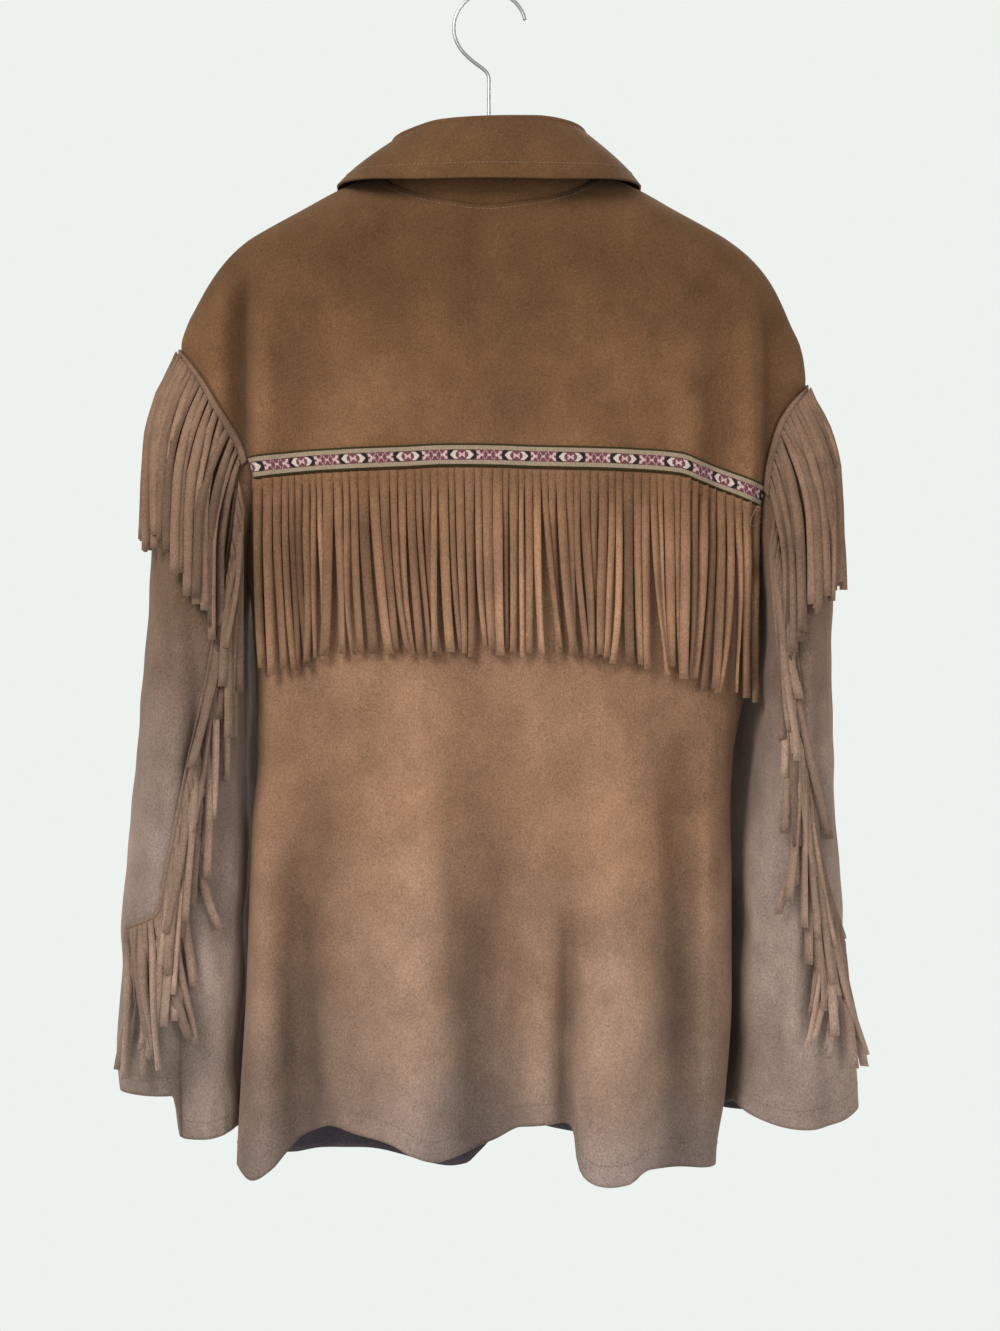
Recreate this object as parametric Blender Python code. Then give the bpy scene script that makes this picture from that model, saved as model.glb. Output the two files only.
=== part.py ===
"""A fringed suede shirt-jacket that hangs on a plain hanger, as closed solids in metres.

The origin is the top of the hook's inner curve, where a rod carries it. +Z is up, the back of the
jacket faces -Y, and +X is the wearer's right.
"""

import math

import bpy
import numpy as np

MM = 0.001

# Cloth and gaps, millimetres
CLOTH = 1.6
SEAM_GAP = 0.4
LAY_GAP = 0.6
ARMHOLE_GAP = 1.0
SIDE_GAP = 0.004

# Steps of the grids: across the back, and round the armhole along the yoke, the back and the front
BACK_COLUMNS = 29
YOKE_STEPS = 7
BACK_STEPS = 3
FRONT_STEPS = 8

# Half widths of the body on each side, a row for each height
HALF_WIDTHS = {
    "z": [-938, -911, -865, -788, -696, -650, -604, -550, -478, -430, -395, -364, -342, -331, -321, -308,
          -295, -280, -262, -250, -230, -212, -197, -185, -172, -157, -141, -120],
    "left": [195, 194, 192, 189, 188, 186, 182, 183, 188, 199, 210, 222, 233, 237, 239, 240,
             241, 243, 238, 232, 221, 208, 192, 172, 148, 121, 87, 40],
    "right": [178, 179, 184, 188, 189, 190, 192, 202, 213, 222, 232, 235, 237, 240, 244, 250,
              249, 246, 238, 233, 223, 209, 191, 171, 147, 121, 87, 40],
}

# Half depth and squareness of the body's section, a row for each height
SECTIONS = {
    "z": [-938, -800, -600, -470, -372, -300, -250, -200, -177, -167, -160, -152, -141, -120],
    "half_depth": [66, 64, 60, 57, 52, 50, 50, 50, 48, 44, 38, 30, 15, 4],
    "square": [3.2, 3.2, 3.1, 3.0, 3.0, 2.6, 2.3, 2.0, 2.0, 2.0, 2.0, 2.0, 2.0, 2.0],
}

# Long folds of the back: middle, half width and depth (outwards is plus), and the height range where each grows
BACK_FOLDS = {
    "middle": [-140, -60, -5, 37, 58, 100, 150],
    "half_width": [24, 34, 24, 16, 9, 28, 17],
    "depth": [-20, 11, -16, 4, -7, 13, -13],
    "from_z": [-520, -500, -470, -560, -640, -520, -470],
    "to_z": [-880, -760, -800, -760, -880, -860, -800],
}

# Folds of the yoke, where the cloth drops off the hanger's ends
YOKE_FOLDS = {
    "middle": [-189, -205, -150, -100, 160, 200, 217],
    "half_width": [8, 9, 18, 26, 22, 10, 8],
    "depth": [-7, 4, -3, 3, -5, 3, -4],
    "top_z": [-240, -240, -290, -290, -300, -250, -290],
    "low_z": [-440, -380, -420, -420, -470, -440, -440],
}

# Long folds of the front, which the photo doesn't show
FRONT_FOLDS = {
    "middle": [-130, -80, 75, 125],
    "half_width": [24, 26, 26, 22],
    "depth": [-12, 8, 9, -11],
    "from_z": [-420, -420, -420, -420],
    "to_z": [-880, -860, -860, -880],
}

# Hems and seams across the body, by place along X
BACK_HEM = {
    "x": [-196, -183, -166, -156, -141, -120, -101, -75, -57, -39, -25, 2, 25, 49, 66, 76, 87, 97, 113, 125, 157, 180],
    "z": [-911, -919, -911, -903, -890, -884, -889, -894, -903, -907, -906, -895, -881, -878, -881, -903, -922,
          -925, -921, -915, -914, -911],
}
FRONT_HEM = {
    "x": [-196, -160, -133, -103, -70, -32, -5, 25, 60, 120, 180],
    "z": [-920, -927, -923, -926, -934, -942, -936, -921, -915, -922, -917],
}
YOKE_SEAM = {
    "x": [-196, -182, -145, -106, -68, -30, 9, 47, 85, 124, 147, 162, 185, 213, 225],
    "z": [-381, -378.2, -374.3, -372.8, -371.3, -369.7, -370.1, -371.3, -372, -373.6, -375.9, -381.2, -388.9,
          -400.4, -406],
}
FRINGE_TIPS = {
    "x": [-196, -182, -155, -121, -68, 39, 85, 115, 146, 192, 215],
    "z": [-541, -538, -533, -524, -523, -521, -525, -531, -538, -553, -563],
}

# The neck seam, from the middle of the back round to the middle of the front: 1 is the shoulder
NECK = {
    "turn": [0.0, 0.3, 0.55, 0.75, 0.88, 1.0, 1.12, 1.3, 1.55, 1.8, 2.0],
    "x": [0, 33, 58, 73, 81, 87, 83, 75, 60, 32, 0.5],
    "z": [-177, -173, -166, -158, -151, -141, -151, -168, -188, -208, -216],
}

# The collar's fold and the edge of its fall, by the same turn
COLLAR = {
    "turn": [0.0, 0.35, 0.65, 0.85, 1.0, 1.2, 1.45, 1.7, 1.9],
    "fold_x": [0, 33, 58, 69, 72, 69, 58, 40, 17],
    "fold_y": [-48, -45, -34, -17, 0, 22, 40, 50, 55],
    "fold_z": [-111, -113, -119, -123, -126, -135, -152, -171, -188],
    "edge_x": [0, 47, 92, 113, 121, 118, 103, 82, 62],
    "edge_y": [-66, -63, -50, -28, 0, 27, 48, 58, 61],
    "edge_z": [-160, -160, -157, -154, -152, -168, -201, -230, -252],
}

# Armholes: the seam is an upright oval on the body's surface
ARMHOLES = {
    "left": {"side": -1, "top": -280, "bottom": -470, "half_depth": 38},
    "right": {"side": 1, "top": -308, "bottom": -478, "half_depth": 32},
}

# Sleeves: outer and inner reach along X and half depth, a row for each height
SLEEVES = {
    "left": {
        "z": [-280, -310, -329, -361, -400, -441, -479, -558, -637, -701, -748, -801, -843, -900],
        "outer": [243, 251, 256, 262, 265, 266, 267, 274, 281, 286, 290, 292.5, 293, 290],
        "inner": [190, 190, 190, 190, 190, 191, 192, 191, 191, 193, 194, 196, 198, 199],
        "half_depth": [40, 48, 52, 56, 60, 62, 63, 63, 60, 57, 53, 47, 41, 34],
        "hem_outer": -868, "hem_inner": -894,
    },
    "right": {
        "z": [-280, -310, -329, -361, -400, -441, -479, -558, -622, -685, -748, -796, -843, -900],
        "outer": [247, 251, 257, 263, 266, 268, 269.5, 269, 272, 276, 279, 282.5, 289, 297],
        "inner": [216, 216, 216, 216, 216, 216, 216, 211, 205, 202, 200, 199.5, 197, 194],
        "half_depth": [40, 48, 54, 62, 68, 71, 72, 69, 65, 60, 54, 48, 42, 36],
        "hem_outer": -878, "hem_inner": -876,
    },
}
SLEEVE_BLEND = 70
SLEEVE_ARC = -14

# How far each sleeve reaches in behind the body's edge, at this angle round the sleeve
SLEEVE_LOBES = {"left": 24, "right": 31}
LOBE_ANGLE = 4.15
LOBE_HALF = 0.45

# The long crease down the back of each sleeve: its angle round the sleeve, half width there and depth
SLEEVE_GROOVES = {
    "left": {"angle": 1.82, "half_width": 0.24, "depth": -6},
    "right": {"angle": 1.15, "half_width": 0.22, "depth": -2.5},
}

# The seam down the back of each sleeve that the fringe hangs from
SLEEVE_FRINGES = {
    "left": {"x": [194, 197, 211, 230, 246, 253, 266, 281], "z": [-395, -427, -519, -611, -688, -720, -728, -734]},
    "right": {"x": [221, 223, 230, 241, 254, 265, 271, 277], "z": [-420, -440, -496, -588, -673, -715, -730, -744]},
}
SLEEVE_STRIP_HALF = 3.5

# How much nearer the sleeve a fringe's strip lies than its strands
HEADER_SINK = {"left": 0.7, "right": 0.75}

BACKWARDS = np.array([0.0, -1.0, 0.0])
BRAID_HEIGHT = 17.5
BRAID_THICK = 1.0
BRAID_CLEAR = 1.3
FRINGE_HEADER = 9
STRAND_THICK = 1.1
YOKE_STRANDS = 62
SLEEVE_STRANDS = 26
ARMHOLE_STRANDS = 17
STRAND_LENGTH = 138
PLACKET_HALF = 17
BUTTON_RADIUS = 7
BUTTON_THICK = 3
BUTTON_HEIGHTS = [-236, -340, -444, -548, -652, -756]

HANGER_THICK = 11
HANGER_LINE = {
    "x": [0, 35, 65, 88, 105, 121, 148, 172, 182],
    "top": [-124, -128, -142, -154, -158, -164, -177, -190.9, -198.4],
}
HOOK_WIRE = 1.5
HOOK_BEND = 28.5

SUEDE = (0.253, 0.156, 0.094)
SUEDE_DARK = (0.22, 0.13, 0.078)
BRAID_COLOUR = (0.32, 0.23, 0.14)
BUTTON_COLOUR = (0.12, 0.075, 0.045)
HANGER_COLOUR = (0.50, 0.33, 0.19)
WIRE_COLOUR = (0.42, 0.42, 0.43)


def smooth(at, knots, values):
    """A smooth curve through a table: cubic pieces whose slopes are those of each row's neighbours."""
    order = np.argsort(knots)
    knots = np.asarray(knots, float)[order]
    values = np.asarray(values, float)[order]
    at = np.clip(np.asarray(at, float), knots[0], knots[-1])
    step = np.diff(knots)
    chord = np.diff(values) / step
    slope = np.empty(len(knots))
    slope[0], slope[-1] = chord[0], chord[-1]
    level = chord[:-1] * chord[1:] <= 0
    mean = 2 * chord[:-1] * chord[1:] / np.where(level, 1, chord[:-1] + chord[1:])
    slope[1:-1] = np.where(level, 0, mean)
    i = np.clip(np.searchsorted(knots, at) - 1, 0, len(step) - 1)
    w = (at - knots[i]) / step[i]
    return (
        values[i] * (1 + 2 * w) * (1 - w) ** 2
        + slope[i] * step[i] * w * (1 - w) ** 2
        + values[i + 1] * w**2 * (3 - 2 * w)
        + slope[i + 1] * step[i] * w**2 * (w - 1)
    )


def ease(x):
    x = np.clip(x, 0, 1)
    return x * x * (3 - 2 * x)


def half_width(z, side):
    """Half width at z on the left (side below 0) or the right."""
    left = smooth(z, HALF_WIDTHS["z"], HALF_WIDTHS["left"])
    right = smooth(z, HALF_WIDTHS["z"], HALF_WIDTHS["right"])
    return np.where(np.asarray(side) < 0, left, right)


def half_depth(z):
    return smooth(z, SECTIONS["z"], SECTIONS["half_depth"])


def square(z):
    return smooth(z, SECTIONS["z"], SECTIONS["square"])


def folds(x, z, back):
    """How far the cloth stands out of the plain section at x and z."""
    table = BACK_FOLDS if back else FRONT_FOLDS
    out = np.zeros(np.broadcast(x, z).shape)
    for middle, wide, depth, start, end in zip(*table.values()):
        grow = ease((start - z) / (start - end))
        out = out + depth * grow * np.exp(-(((x - middle) / wide) ** 2))
    if back:
        for middle, wide, depth, top, low in zip(*YOKE_FOLDS.values()):
            grow = ease((top - z) / 40) * ease((z - low) / 60)
            out = out + depth * grow * np.exp(-(((x - middle) / wide) ** 2))
    return out


def body(turn, z):
    """The body's surface: turn is 0 at the middle of the back, 1 at the left side, -1 at the right, 2 at the front."""
    turn, z = np.broadcast_arrays(np.asarray(turn, float), np.asarray(z, float))
    angle = math.pi / 2 * turn
    across, along = np.sin(angle), np.cos(angle)
    n = square(z)
    reach = (np.abs(across) ** n + np.abs(along) ** n) ** (-1 / n)
    x = -half_width(z, -across) * reach * across
    flat = np.abs(reach * along)
    out = np.where(along > 0, folds(x, z, True), folds(x, z, False)) * flat**2
    y = -np.sign(along) * (half_depth(z) * flat + out)
    return np.stack([x, y, z], axis=-1)


def turn_at(x, z, front=False):
    """The turn whose point at height z lies at x."""
    across = np.clip(np.abs(x) / half_width(z, x), 0, 1)
    n = square(z)
    along = (1 - across**n) ** (1 / n)
    turn = np.arctan2(across, along) * 2 / math.pi
    turn = np.where(front, 2 - turn, turn)
    return np.where(np.asarray(x) > 0, -turn, turn)


def armhole(side_name, angle):
    """The armhole seam's turn and height: angle is 0 at the shoulder, pi/2 at the back, pi under the arm."""
    hole = ARMHOLES[side_name]
    middle = (hole["top"] + hole["bottom"]) / 2
    z = middle + (hole["top"] - middle) * np.cos(angle)
    y = hole["half_depth"] * np.abs(np.sin(angle))
    along = y / half_depth(z)
    n = square(z)
    across = (1 - along**n) ** (1 / n)
    turn = np.arctan2(across, along) * 2 / math.pi
    turn = np.where(np.sin(angle) < 0, 2 - turn, turn)
    return -hole["side"] * turn, z


def unit(v):
    return v / np.maximum(np.linalg.norm(v, axis=-1, keepdims=True), 1e-9)


def body_out(turn, z):
    """Outward normals of the body's surface."""
    d = 0.002
    du = body(turn + d, z) - body(turn - d, z)
    dz = body(turn, z + 1.0) - body(turn, z - 1.0)
    return unit(np.cross(dz, du))


def make(name, vertices, faces, colour, roughness, metallic=0.0, flat=False):
    """One named object with its own material, from points in millimetres."""
    mesh = bpy.data.meshes.new(name)
    mesh.from_pydata((np.asarray(vertices) * MM).tolist(), [], [tuple(map(int, f)) for f in faces])
    mesh.update()
    mesh.polygons.foreach_set("use_smooth", [not flat] * len(mesh.polygons))
    made = bpy.data.objects.new(name, mesh)
    bpy.context.scene.collection.objects.link(made)
    material = bpy.data.materials.new(name)
    material.use_nodes = True
    shader = material.node_tree.nodes["Principled BSDF"]
    shader.inputs["Base Color"].default_value = (*colour, 1)
    shader.inputs["Roughness"].default_value = roughness
    shader.inputs["Metallic"].default_value = metallic
    mesh.materials.append(material)
    return made


def shell(outer, inner, ring=False):
    """Vertices and faces of a closed wall between two grids of points. A ring joins its last column to its first."""
    rows, columns = outer.shape[:2]
    count = rows * columns
    index = np.arange(count).reshape(rows, columns)
    last = columns if ring else columns - 1
    faces = []
    for i in range(rows - 1):
        for j in range(last):
            k = (j + 1) % columns
            a, b, c, d = index[i, j], index[i, k], index[i + 1, k], index[i + 1, j]
            faces.append((a, b, c, d))
            faces.append((d + count, c + count, b + count, a + count))
    rim = []
    for j in range(last):
        k = (j + 1) % columns
        rim.append((index[0, k], index[0, j]))
        rim.append((index[-1, j], index[-1, k]))
    if not ring:
        for i in range(rows - 1):
            rim.append((index[i, 0], index[i + 1, 0]))
            rim.append((index[i + 1, -1], index[i, -1]))
    faces += [(a, b, b + count, a + count) for a, b in rim]
    return np.concatenate([outer.reshape(-1, 3), inner.reshape(-1, 3)]), faces


def volume(vertices, faces):
    total = 0.0
    for face in faces:
        corners = vertices[list(face)]
        for k in range(1, len(face) - 1):
            total += np.dot(corners[0], np.cross(corners[k], corners[k + 1]))
    return total


def facing_out(vertices, faces):
    """The faces, turned round where they would face into the solid."""
    if volume(vertices, faces) < 0:
        return [tuple(reversed(f)) for f in faces]
    return faces


def wall(name, outer, normals, thick, colour, roughness=0.9, ring=False):
    vertices, faces = shell(outer, outer - normals * thick, ring)
    return make(name, vertices, facing_out(vertices, faces), colour, roughness)


def even(count):
    return np.linspace(0, 1, count)


def even_turns(start, end, count):
    """Turns from start to end, spaced evenly along the hem."""
    fine = np.linspace(start, end, 400)
    points = body(fine, np.full(400, -750.0))
    run = np.concatenate([[0], np.cumsum(np.linalg.norm(np.diff(points, axis=0), axis=1))])
    return np.interp(np.linspace(0, run[-1], count), run, fine)


def coons(bottom, top, start, end):
    """A patch between four sides, each an array of (turn, z). Rows run from bottom to top."""
    u = even(len(bottom))[None, :, None]
    v = even(len(start))[:, None, None]
    corners = (
        (1 - u) * (1 - v) * bottom[0] + u * (1 - v) * bottom[-1] + (1 - u) * v * top[0] + u * v * top[-1]
    )
    return (1 - v) * bottom + v * top + (1 - u) * start[:, None] + u * end[:, None] - corners


def neck_at(turn):
    """The neck seam's (turn, z) on the body for turns from -2 to 2."""
    size = np.abs(turn)
    x = smooth(size, NECK["turn"], NECK["x"]) * -np.sign(turn)
    z = smooth(size, NECK["turn"], NECK["z"])
    return np.stack([turn_at(x, z, size > 1), z], axis=-1)


def seam_z(turn):
    """Height of the yoke seam at this turn of the back."""
    z = np.full(np.shape(turn), -375.0)
    for _ in range(6):
        z = smooth(body(turn, z)[..., 0], YOKE_SEAM["x"], YOKE_SEAM["z"])
    return z


def hem_z(turn, back):
    table = BACK_HEM if back else FRONT_HEM
    x = body(turn, np.full(np.shape(turn), -905.0))[..., 0]
    return smooth(x, table["x"], table["z"])


def armhole_angle_at_seam(side_name):
    """The armhole's angle where it crosses the yoke seam."""
    angles = np.linspace(0.2, math.pi - 0.1, 400)
    turn, z = armhole(side_name, angles)
    return float(angles[np.argmin(np.abs(z - seam_z(turn)))])


def ridge(side_name, count):
    """(turn, z) along the shoulder seam from the armhole's top to the neck."""
    side = ARMHOLES[side_name]["side"]
    z = np.linspace(ARMHOLES[side_name]["top"], NECK["z"][5], count)
    return np.stack([np.full(count, -side * 1.0), z], axis=-1)


def build_back_yoke(columns=BACK_COLUMNS, rows=YOKE_STEPS + 1):
    left, right = armhole_angle_at_seam("left"), armhole_angle_at_seam("right")
    on_ridge = 7
    start = np.stack(armhole("left", np.linspace(left, 0, rows)), axis=-1)
    end = np.stack(armhole("right", np.linspace(right, 0, rows)), axis=-1)
    bottom_turn = even_turns(start[0, 0], end[0, 0], columns)
    bottom = np.stack([bottom_turn, seam_z(bottom_turn) + SEAM_GAP / 2], axis=-1)
    start[0], end[0] = bottom[0], bottom[-1]
    neck = neck_at(np.linspace(1, -1, columns - 2 * (on_ridge - 1)))
    top = np.concatenate([ridge("left", on_ridge)[:-1], neck, ridge("right", on_ridge)[::-1][1:]])
    grid = coons(bottom, top, start, end)
    grid = keep_off_ridge(grid, True)
    outer = body(grid[..., 0], grid[..., 1])
    wall("back_yoke", outer, body_out(grid[..., 0], grid[..., 1]), CLOTH, SUEDE)


def keep_off_ridge(grid, back):
    """Moves a panel's points a little off the side seams, so that the back and the front don't touch."""
    turn = grid[..., 0]
    size = np.minimum(np.abs(turn), 1 - SIDE_GAP) if back else np.maximum(np.abs(turn), 1 + SIDE_GAP)
    return np.stack([np.sign(turn) * size, grid[..., 1]], axis=-1)


def build_back_body(columns=BACK_COLUMNS, rows_up=BACK_STEPS + 1, rows_down=12):
    left, right = armhole_angle_at_seam("left"), armhole_angle_at_seam("right")
    start = np.stack(armhole("left", np.linspace(math.pi, left, rows_up)), axis=-1)
    end = np.stack(armhole("right", np.linspace(math.pi, right, rows_up)), axis=-1)
    top_turn = even_turns(start[-1, 0], end[-1, 0], columns)
    top = np.stack([top_turn, seam_z(top_turn) - SEAM_GAP / 2], axis=-1)
    start[-1], end[-1] = top[0], top[-1]
    arm_turn = even_turns(1, -1, columns)
    arm_z = np.linspace(start[0, 1], end[0, 1], columns)
    upper = coons(np.stack([arm_turn, arm_z], axis=-1), top, start, end)
    hem = hem_z(arm_turn, True)
    down = even(rows_down)[:-1, None]
    lower = np.stack(
        [np.broadcast_to(arm_turn, (rows_down - 1, columns)), hem + (arm_z - hem) * down], axis=-1
    )
    grid = keep_off_ridge(np.concatenate([lower, upper]), True)
    outer = body(grid[..., 0], grid[..., 1])
    wall("back_body", outer, body_out(grid[..., 0], grid[..., 1]), CLOTH, SUEDE)


def build_front(side_name, columns=15, rows_up=FRONT_STEPS + 1, rows_down=9):
    side = ARMHOLES[side_name]["side"]
    on_ridge = 8
    middle = 1.998
    start = np.stack(armhole(side_name, -np.linspace(math.pi, 0, rows_up)), axis=-1)
    start[0, 0] = -side
    start[-1, 0] = -side
    under = ARMHOLES[side_name]["bottom"]
    turns = even_turns(-side, -side * middle, columns)
    low = np.stack([turns, np.full(columns, float(under))], axis=-1)
    neck = neck_at(-side * np.linspace(1, 2, columns - on_ridge + 1))
    neck[-1, 0] = -side * middle
    top = np.concatenate([ridge(side_name, on_ridge)[:-1], neck])
    end = np.stack([np.full(rows_up, -side * middle), np.linspace(under, top[-1, 1], rows_up)], axis=-1)
    upper = coons(low, top, start, end)
    hem = hem_z(turns, False)
    down = even(rows_down)[:-1, None]
    lower = np.stack([np.broadcast_to(turns, (rows_down - 1, columns)), hem + (under - hem) * down], axis=-1)
    grid = keep_off_ridge(np.concatenate([lower, upper]), False)
    outer = body(grid[..., 0], grid[..., 1])
    wall(f"front_{side_name}", outer, body_out(grid[..., 0], grid[..., 1]), CLOTH, SUEDE)


def front_height(v):
    """Heights down the centre front, v from 0 at the hem to 1 at the neck."""
    low = float(smooth(0.0, FRONT_HEM["x"], FRONT_HEM["z"]))
    return low + (NECK["z"][-1] - 2 - low) * v


def build_placket(rows=15):
    z = front_height(even(rows))[:, None]
    across = np.array([[PLACKET_HALF, 0.0, -PLACKET_HALF]])
    turn = turn_at(across, z, True)
    turn = np.where(across == 0, 2.0, turn)
    points = body(turn, z)
    normals = body_out(turn, z)
    normals[:, 1] = (0, 1, 0)
    outer = points + normals * (LAY_GAP + CLOTH)
    wall("front_placket", outer, normals, CLOTH, SUEDE_DARK)


def build_button(number, z):
    middle = body(2.0, z) + np.array([0, LAY_GAP + CLOTH + LAY_GAP, 0])
    sides = 16
    angle = np.linspace(0, 2 * math.pi, sides, endpoint=False)
    radii = [BUTTON_RADIUS, BUTTON_RADIUS, BUTTON_RADIUS - 1]
    depths = [0, BUTTON_THICK - 1, BUTTON_THICK]
    rings = [
        np.stack([radius * np.cos(angle), np.full(sides, depth), radius * np.sin(angle)], axis=-1)
        for radius, depth in zip(radii, depths)
    ]
    vertices = np.concatenate(rings) + middle
    faces = [tuple(range(sides)), tuple(reversed(range(2 * sides, 3 * sides)))]
    for ring in range(2):
        for j in range(sides):
            k = (j + 1) % sides
            a, b = ring * sides, (ring + 1) * sides
            faces.append((a + k, a + j, b + j, b + k))
    make(f"button_{number}", vertices, facing_out(vertices, faces), BUTTON_COLOUR, 0.4)


def sleeve(side_name, angle, run):
    """The sleeve's surface: angle as at the armhole, run 0 at the armhole and 1 at the hem."""
    table = SLEEVES[side_name]
    side = ARMHOLES[side_name]["side"]
    angle, run = np.broadcast_arrays(angle, run)
    turn, top = armhole(side_name, angle)
    seam = body(turn, top)
    hem = (
        table["hem_outer"] + (table["hem_inner"] - table["hem_outer"]) * ease((1 - np.cos(angle)) / 2)
        + SLEEVE_ARC * np.sin(angle) ** 2
    )
    z = top + (hem - top) * run
    outer = smooth(z, table["z"], table["outer"])
    inner = smooth(z, table["z"], table["inner"])
    deep = smooth(z, table["z"], table["half_depth"])
    away = (np.mod(angle, 2 * math.pi) - LOBE_ANGLE) / LOBE_HALF
    lobe = SLEEVE_LOBES[side_name] * np.exp(-(away**2)) * ease((-z - 430) / 75)
    x = side * ((outer + inner) / 2 + (outer - inner) / 2 * np.cos(angle) - lobe)
    y = -deep * np.sin(angle)
    w = 1 - (1 - np.clip((top - z) / SLEEVE_BLEND, 0, 1)) ** 2
    crease = sleeve_creases(side_name, angle, z) * w
    x = seam[..., 0] * (1 - w) + x * w + side * crease * np.cos(angle)
    y = seam[..., 1] * (1 - w) + y * w - crease * np.sin(angle)
    return np.stack([x, y, z], axis=-1)


def sleeve_creases(side_name, angle, z):
    """Soft long creases beside the fringe seam and rings of slack cloth above the hem."""
    slack = 1.6 * np.sin(z / 19 + 1.5 * np.cos(angle)) * ease((z + 900) / 20) * ease((-z - 690) / 60)
    groove = SLEEVE_GROOVES[side_name]
    away = (angle - groove["angle"]) / groove["half_width"]
    return slack + groove["depth"] * np.exp(-(away**2)) * ease((-z - 470) / 120)


def sleeve_out(side_name, angle, run):
    d = 0.004
    da = sleeve(side_name, angle + d, run) - sleeve(side_name, angle - d, run)
    dr = sleeve(side_name, angle, run + d) - sleeve(side_name, angle, run - d)
    return unit(np.cross(dr, da)) * -ARMHOLES[side_name]["side"]


def armhole_angles(side_name):
    """Angles round the armhole that fall on the edge points of the panels beside it."""
    seam = armhole_angle_at_seam(side_name)
    yoke = np.linspace(0, seam, YOKE_STEPS + 1)[:-1]
    back = np.linspace(seam, math.pi, BACK_STEPS + 1)[:-1]
    front = np.linspace(math.pi, 2 * math.pi, FRONT_STEPS + 1)[:-1]
    return np.concatenate([yoke, back, front])


def build_sleeve(side_name, rows=17):
    angle = armhole_angles(side_name)[None, :]
    _, top = armhole(side_name, angle)
    first = ARMHOLE_GAP / (top + 880)
    run = first + (1 - first) * even(rows)[:, None] ** 1.15
    outer = sleeve(side_name, angle, run)
    wall(f"sleeve_{side_name}", outer, sleeve_out(side_name, angle, run), CLOTH, SUEDE, ring=True)


def collar_line(which, turn):
    """The collar's fold or edge at these turns."""
    size = np.abs(turn)
    x = smooth(size, COLLAR["turn"], COLLAR[f"{which}_x"]) * -np.sign(turn)
    y = smooth(size, COLLAR["turn"], COLLAR[f"{which}_y"])
    z = smooth(size, COLLAR["turn"], COLLAR[f"{which}_z"])
    return np.stack([x, y, z], axis=-1)


def grid_normals(points):
    """Normals of a grid of points, from its own rows and columns."""
    return unit(np.cross(np.gradient(points, axis=0), np.gradient(points, axis=1)))


def collar_side(turn):
    """Level directions away from the neck."""
    fold = collar_line("fold", turn)
    return unit(fold * np.array([1, 1, 0]))


def build_collar(columns=25):
    turn = np.linspace(1.9, -1.9, columns)
    on_body = neck_at(turn * 1.0)
    base = body(on_body[:, 0], on_body[:, 1]) + np.array([0, 0, 0.8])
    fold = collar_line("fold", turn)
    side = collar_side(turn)
    stand = np.stack([base * (1 - v) + fold * v for v in (0, 0.5, 1)])
    normals = np.broadcast_to(side, stand.shape)
    wall("collar_stand", stand, normals, CLOTH, SUEDE)
    edge = collar_line("edge", turn)
    over = fold + side * -CLOTH * 0.5 + np.array([0, 0, CLOTH + 2.2])
    rolled = fold + side * (CLOTH + 3.8) + np.array([0, 0, -0.5])
    rows = [over, rolled]
    for v in (0.35, 0.7, 1.0):
        rows.append(rolled * (1 - v) + edge * v + side * 4 * v * (1 - v))
    fall = np.stack(rows)
    normals = grid_normals(fall)
    if np.sum(normals[2] * side) < 0:
        normals = -normals
    wall("collar_fall", fall, normals, CLOTH, SUEDE)


def build_braid(columns=BACK_COLUMNS):
    left, right = armhole_angle_at_seam("left"), armhole_angle_at_seam("right")
    ends = armhole("left", left)[0], armhole("right", right)[0]
    turn = even_turns(float(ends[0]) - 0.006, float(ends[1]) + 0.012, columns)[None, :]
    z = seam_z(turn) + BRAID_HEIGHT * np.array([[0.5], [0.0], [-0.5]])
    normals = body_out(turn, z)
    outer = body(turn, z) + normals * (LAY_GAP + 0.25 + BRAID_THICK)
    wall("braid", outer, normals, BRAID_THICK, BRAID_COLOUR, 0.8)


def fringe(name, tops, roots, paths, normals, colour=SUEDE):
    """One backing strip with a strand at every second cell.

    tops and roots are the strip's upper and lower edges, a point for each side of each strand. paths is
    strands x rows x 2 sides, and normals point out of the cloth, a row of them for each strand.
    """
    thick = STRAND_THICK
    count = len(tops)
    back = normals["strip"] * thick
    vertices = [np.stack([tops, tops - back, roots, roots - back], axis=1).reshape(-1, 3)]
    faces = []
    for k in range(count - 1):
        a, b = 4 * k, 4 * (k + 1)
        faces.append((a, b, b + 2, a + 2))
        faces.append((a + 1, a + 3, b + 3, b + 1))
        faces.append((a, a + 1, b + 1, b))
        if k % 2:
            faces.append((a + 2, b + 2, b + 3, a + 3))
    end = 4 * (count - 1)
    faces.append((0, 2, 3, 1))
    faces.append((end, end + 1, end + 3, end + 2))
    used = 4 * count
    for s, path in enumerate(paths):
        ring = (8 * s + 2, 8 * s + 6, 8 * s + 7, 8 * s + 3)
        for row, out in zip(path, normals["strands"][s]):
            vertices.append(np.stack([row[0], row[1], row[1] - out * thick, row[0] - out * thick]))
            new = (used, used + 1, used + 2, used + 3)
            used += 4
            faces += [(ring[i], ring[(i + 1) % 4], new[(i + 1) % 4], new[i]) for i in range(4)]
            ring = new
        faces.append(ring)
    vertices = np.concatenate(vertices)
    return make(name, vertices, facing_out(vertices, faces), colour, 0.9)


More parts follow.
